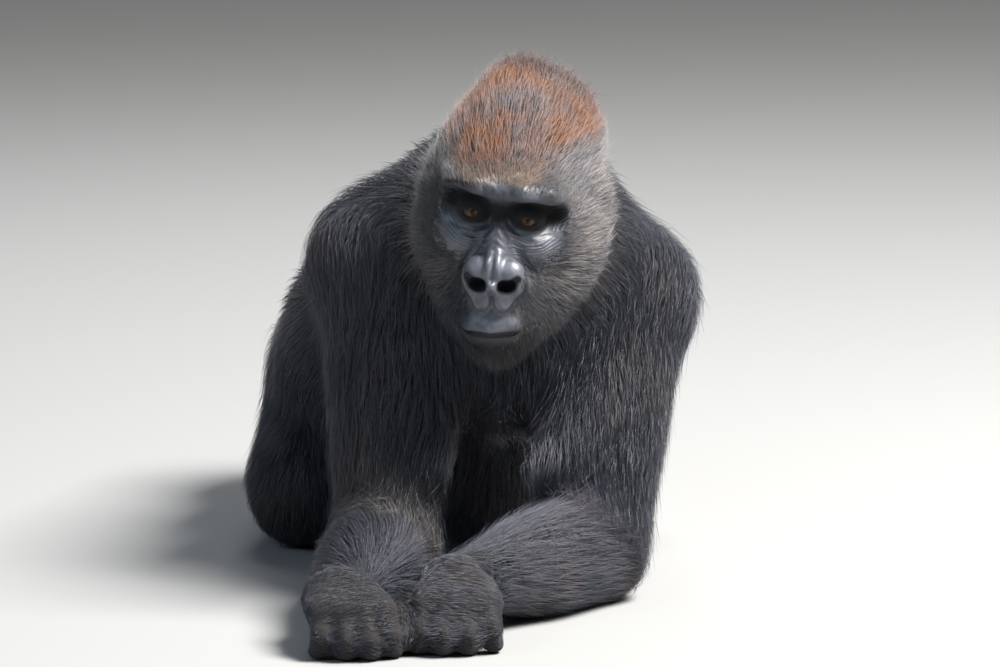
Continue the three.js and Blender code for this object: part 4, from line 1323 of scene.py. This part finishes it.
def coatMaterial():
    look = coatLook
    material, tree, shader = newMaterial("coat", **look["shader"])
    along, tone, dark = attributeParts(tree, "strand")
    cloud = texture(tree, "Noise", placeOn(tree), **look["cloud"])
    pale = plus(tree, times(tree, tone, look["ofTuft"]), times(tree, cloud, look["ofCloud"]))
    tip = times(tree, maths(tree, "POWER", along, look["tipBend"]), pale)
    colour = mixColour(tree, tip, look["root"], look["tip"])
    browned = times(tree, tip, ramp(tree, cloud, *look["brownPatches"]))
    colour = mixColour(tree, browned, colour, look["brown"])
    colour = marked(tree, colour, plus(tree, times(tree, along, look["markGain"]), look["markAtRoot"]))
    perTuft = plus(tree, times(tree, tone, look["shadeOfTuft"]), look["shadeAtRoot"])
    # the strand's third value is painted shade, darkening the back of the crown
    shade = times(tree, times(tree, plus(tree, along, 1), perTuft), maths(tree, "SUBTRACT", 1, dark))
    tree.links.new(mixColour(tree, shade, look["root"], colour), shader.inputs["Base Color"])
    return material


# the darkest skin colour is painted shade in the eye sockets, nostrils and mouth line, and stubble at the
# lip edges
skinLook = {
    "bare": (0.044, 0.048, 0.062), "pale": (0.13, 0.138, 0.17), "deep": (0.005, 0.0048, 0.005),
    "under": (0.018, 0.017, 0.018), "brown": (0.022, 0.018, 0.017), "deepShare": 0.92, "brownShare": 0.94,
    "underShare": 0.3, "underMarks": 0.7, "cloud": {"Scale": 38, "Detail": 5, "Roughness": 0.6},
    "paleIn": ((0.35, 0.0), (0.7, 1.0)),
    "rough": 0.32, "roughCloud": 0.3, "roughBrown": 0.3, "roughDeep": 0.5,
    "lines": {"Scale": 260, "Detail": 5, "Roughness": 0.7}, "lineBump": (0.3, 0.0008),
    "pores": {"Scale": 620}, "poreBump": (0.2, 0.0005), "cells": {"Scale": 230}, "cellBump": (0.25, 0.0008),
    "cellsOnBrown": 3, "foldWaver": 16, "foldBump": (0.45, 0.0008), "gloss": 0.9, "brownDulls": 8,
    "shader": {"Coat Roughness": 0.4, "Specular IOR Level": 0.4},
}


def skinMaterial():
    look = skinLook
    material, tree, shader = newMaterial("skin", **look["shader"])
    place = placeOn(tree)
    bare, deep, brown = attributeParts(tree, "bareness")
    cloud = texture(tree, "Noise", place, **look["cloud"])
    pores = texture(tree, "Voronoi", place, **look["pores"])
    cells = texture(tree, "Voronoi", place, **look["cells"])
    lines = texture(tree, "Noise", place, **look["lines"])
    colour = mixColour(tree, ramp(tree, cloud, *look["paleIn"]), look["bare"], look["pale"])
    # painted shade darkens the eye sockets, nostrils and mouth line, and stubble darkens the lip edges
    colour = mixColour(tree, times(tree, deep, look["deepShare"]), colour, look["deep"])
    colour = mixColour(tree, times(tree, brown, look["brownShare"]), colour, look["brown"])
    under = marked(tree, look["under"], look["underMarks"])
    under = mixColour(tree, look["underShare"], look["under"], under)
    tree.links.new(mixColour(tree, bare, under, colour), shader.inputs["Base Color"])
    rough = plus(tree, times(tree, cloud, look["roughCloud"]), look["rough"])
    rough = plus(tree, rough, times(tree, brown, look["roughBrown"]))
    tree.links.new(plus(tree, rough, times(tree, deep, look["roughDeep"])), shader.inputs["Roughness"])
    fine = bumped(tree, pores, *look["poreBump"], bumped(tree, lines, *look["lineBump"]))
    cells = times(tree, cells, plus(tree, times(tree, brown, look["cellsOnBrown"]), 1))
    fine = bumped(tree, cells, *look["cellBump"], fine)
    fold, strong, _ = attributeParts(tree, "folds")
    turns = plus(tree, times(tree, fold, 2 * math.pi), times(tree, cloud, look["foldWaver"]))
    folds = times(tree, maths(tree, "SINE", turns), strong)
    tree.links.new(bumped(tree, folds, *look["foldBump"], fine), shader.inputs["Normal"])
    dull = plus(tree, deep, times(tree, brown, look["brownDulls"]))
    gloss = maths(tree, "MAXIMUM", maths(tree, "SUBTRACT", look["gloss"], dull), 0)
    tree.links.new(gloss, shader.inputs["Coat Weight"])
    return material


eyeLook = {
    "pupil": (0.002, 0.0015, 0.0015), "inner": (0.11, 0.05, 0.017), "outer": (0.045, 0.02, 0.009),
    "rim": (0.012, 0.006, 0.004), "white": (0.03, 0.018, 0.012), "far": (0.012, 0.008, 0.007),
    "streaks": {"Scale": 2.4, "Detail": 4}, "streakEdges": ((0.38, 0.0), (0.62, 1.0)),
    "pupilEdge": 0.02, "rimWidth": 0.06, "whiteEdge": 0.04, "farEdges": ((0.38, 0.0), (0.62, 1.0)),
    "shader": {"Roughness": 0.3, "Specular IOR Level": 0.1, "Coat Weight": 0.3, "Coat Roughness": 0.04},
}


def eyeMaterial():
    look = eyeLook
    material, tree, shader = newMaterial("eye", **look["shader"])
    away = attributeParts(tree, "look")[0]
    facing = tree.nodes.new("ShaderNodeAttribute")
    facing.attribute_name = "look"
    streaks = texture(tree, "Noise", facing.outputs["Vector"], **look["streaks"])
    iris, pupil = eyeBall["iris"] / 90, eyeBall["pupil"] / 90

    def outside(start, width):  # black up to start, white beyond it
        return ramp(tree, away, (start, 0.0), (start + width, 1.0))

    amber = mixColour(tree, ramp(tree, streaks, *look["streakEdges"]), look["outer"], look["inner"])
    colour = mixColour(tree, outside(pupil, look["pupilEdge"]), look["pupil"], amber)
    colour = mixColour(tree, outside(iris - look["rimWidth"], look["rimWidth"]), colour, look["rim"])
    white = mixColour(tree, ramp(tree, away, *look["farEdges"]), look["white"], look["far"])
    colour = mixColour(tree, outside(iris, look["whiteEdge"]), colour, white)
    tree.links.new(colour, shader.inputs["Base Color"])
    return material


print("finishes")
markingsFinish = markingsGroup()
coatFinish = coatMaterial()
for coat in coats:
    coat.data.materials.append(coatFinish)
    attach(coat, "root")
skin.data.materials.append(skinMaterial())
eyeFinish = eyeMaterial()
for name, eye in eyes.items():
    eye.data.materials.append(eyeFinish)
    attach(eye, "root")
    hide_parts(name)
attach(skin, "root")
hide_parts(*fleshNames)
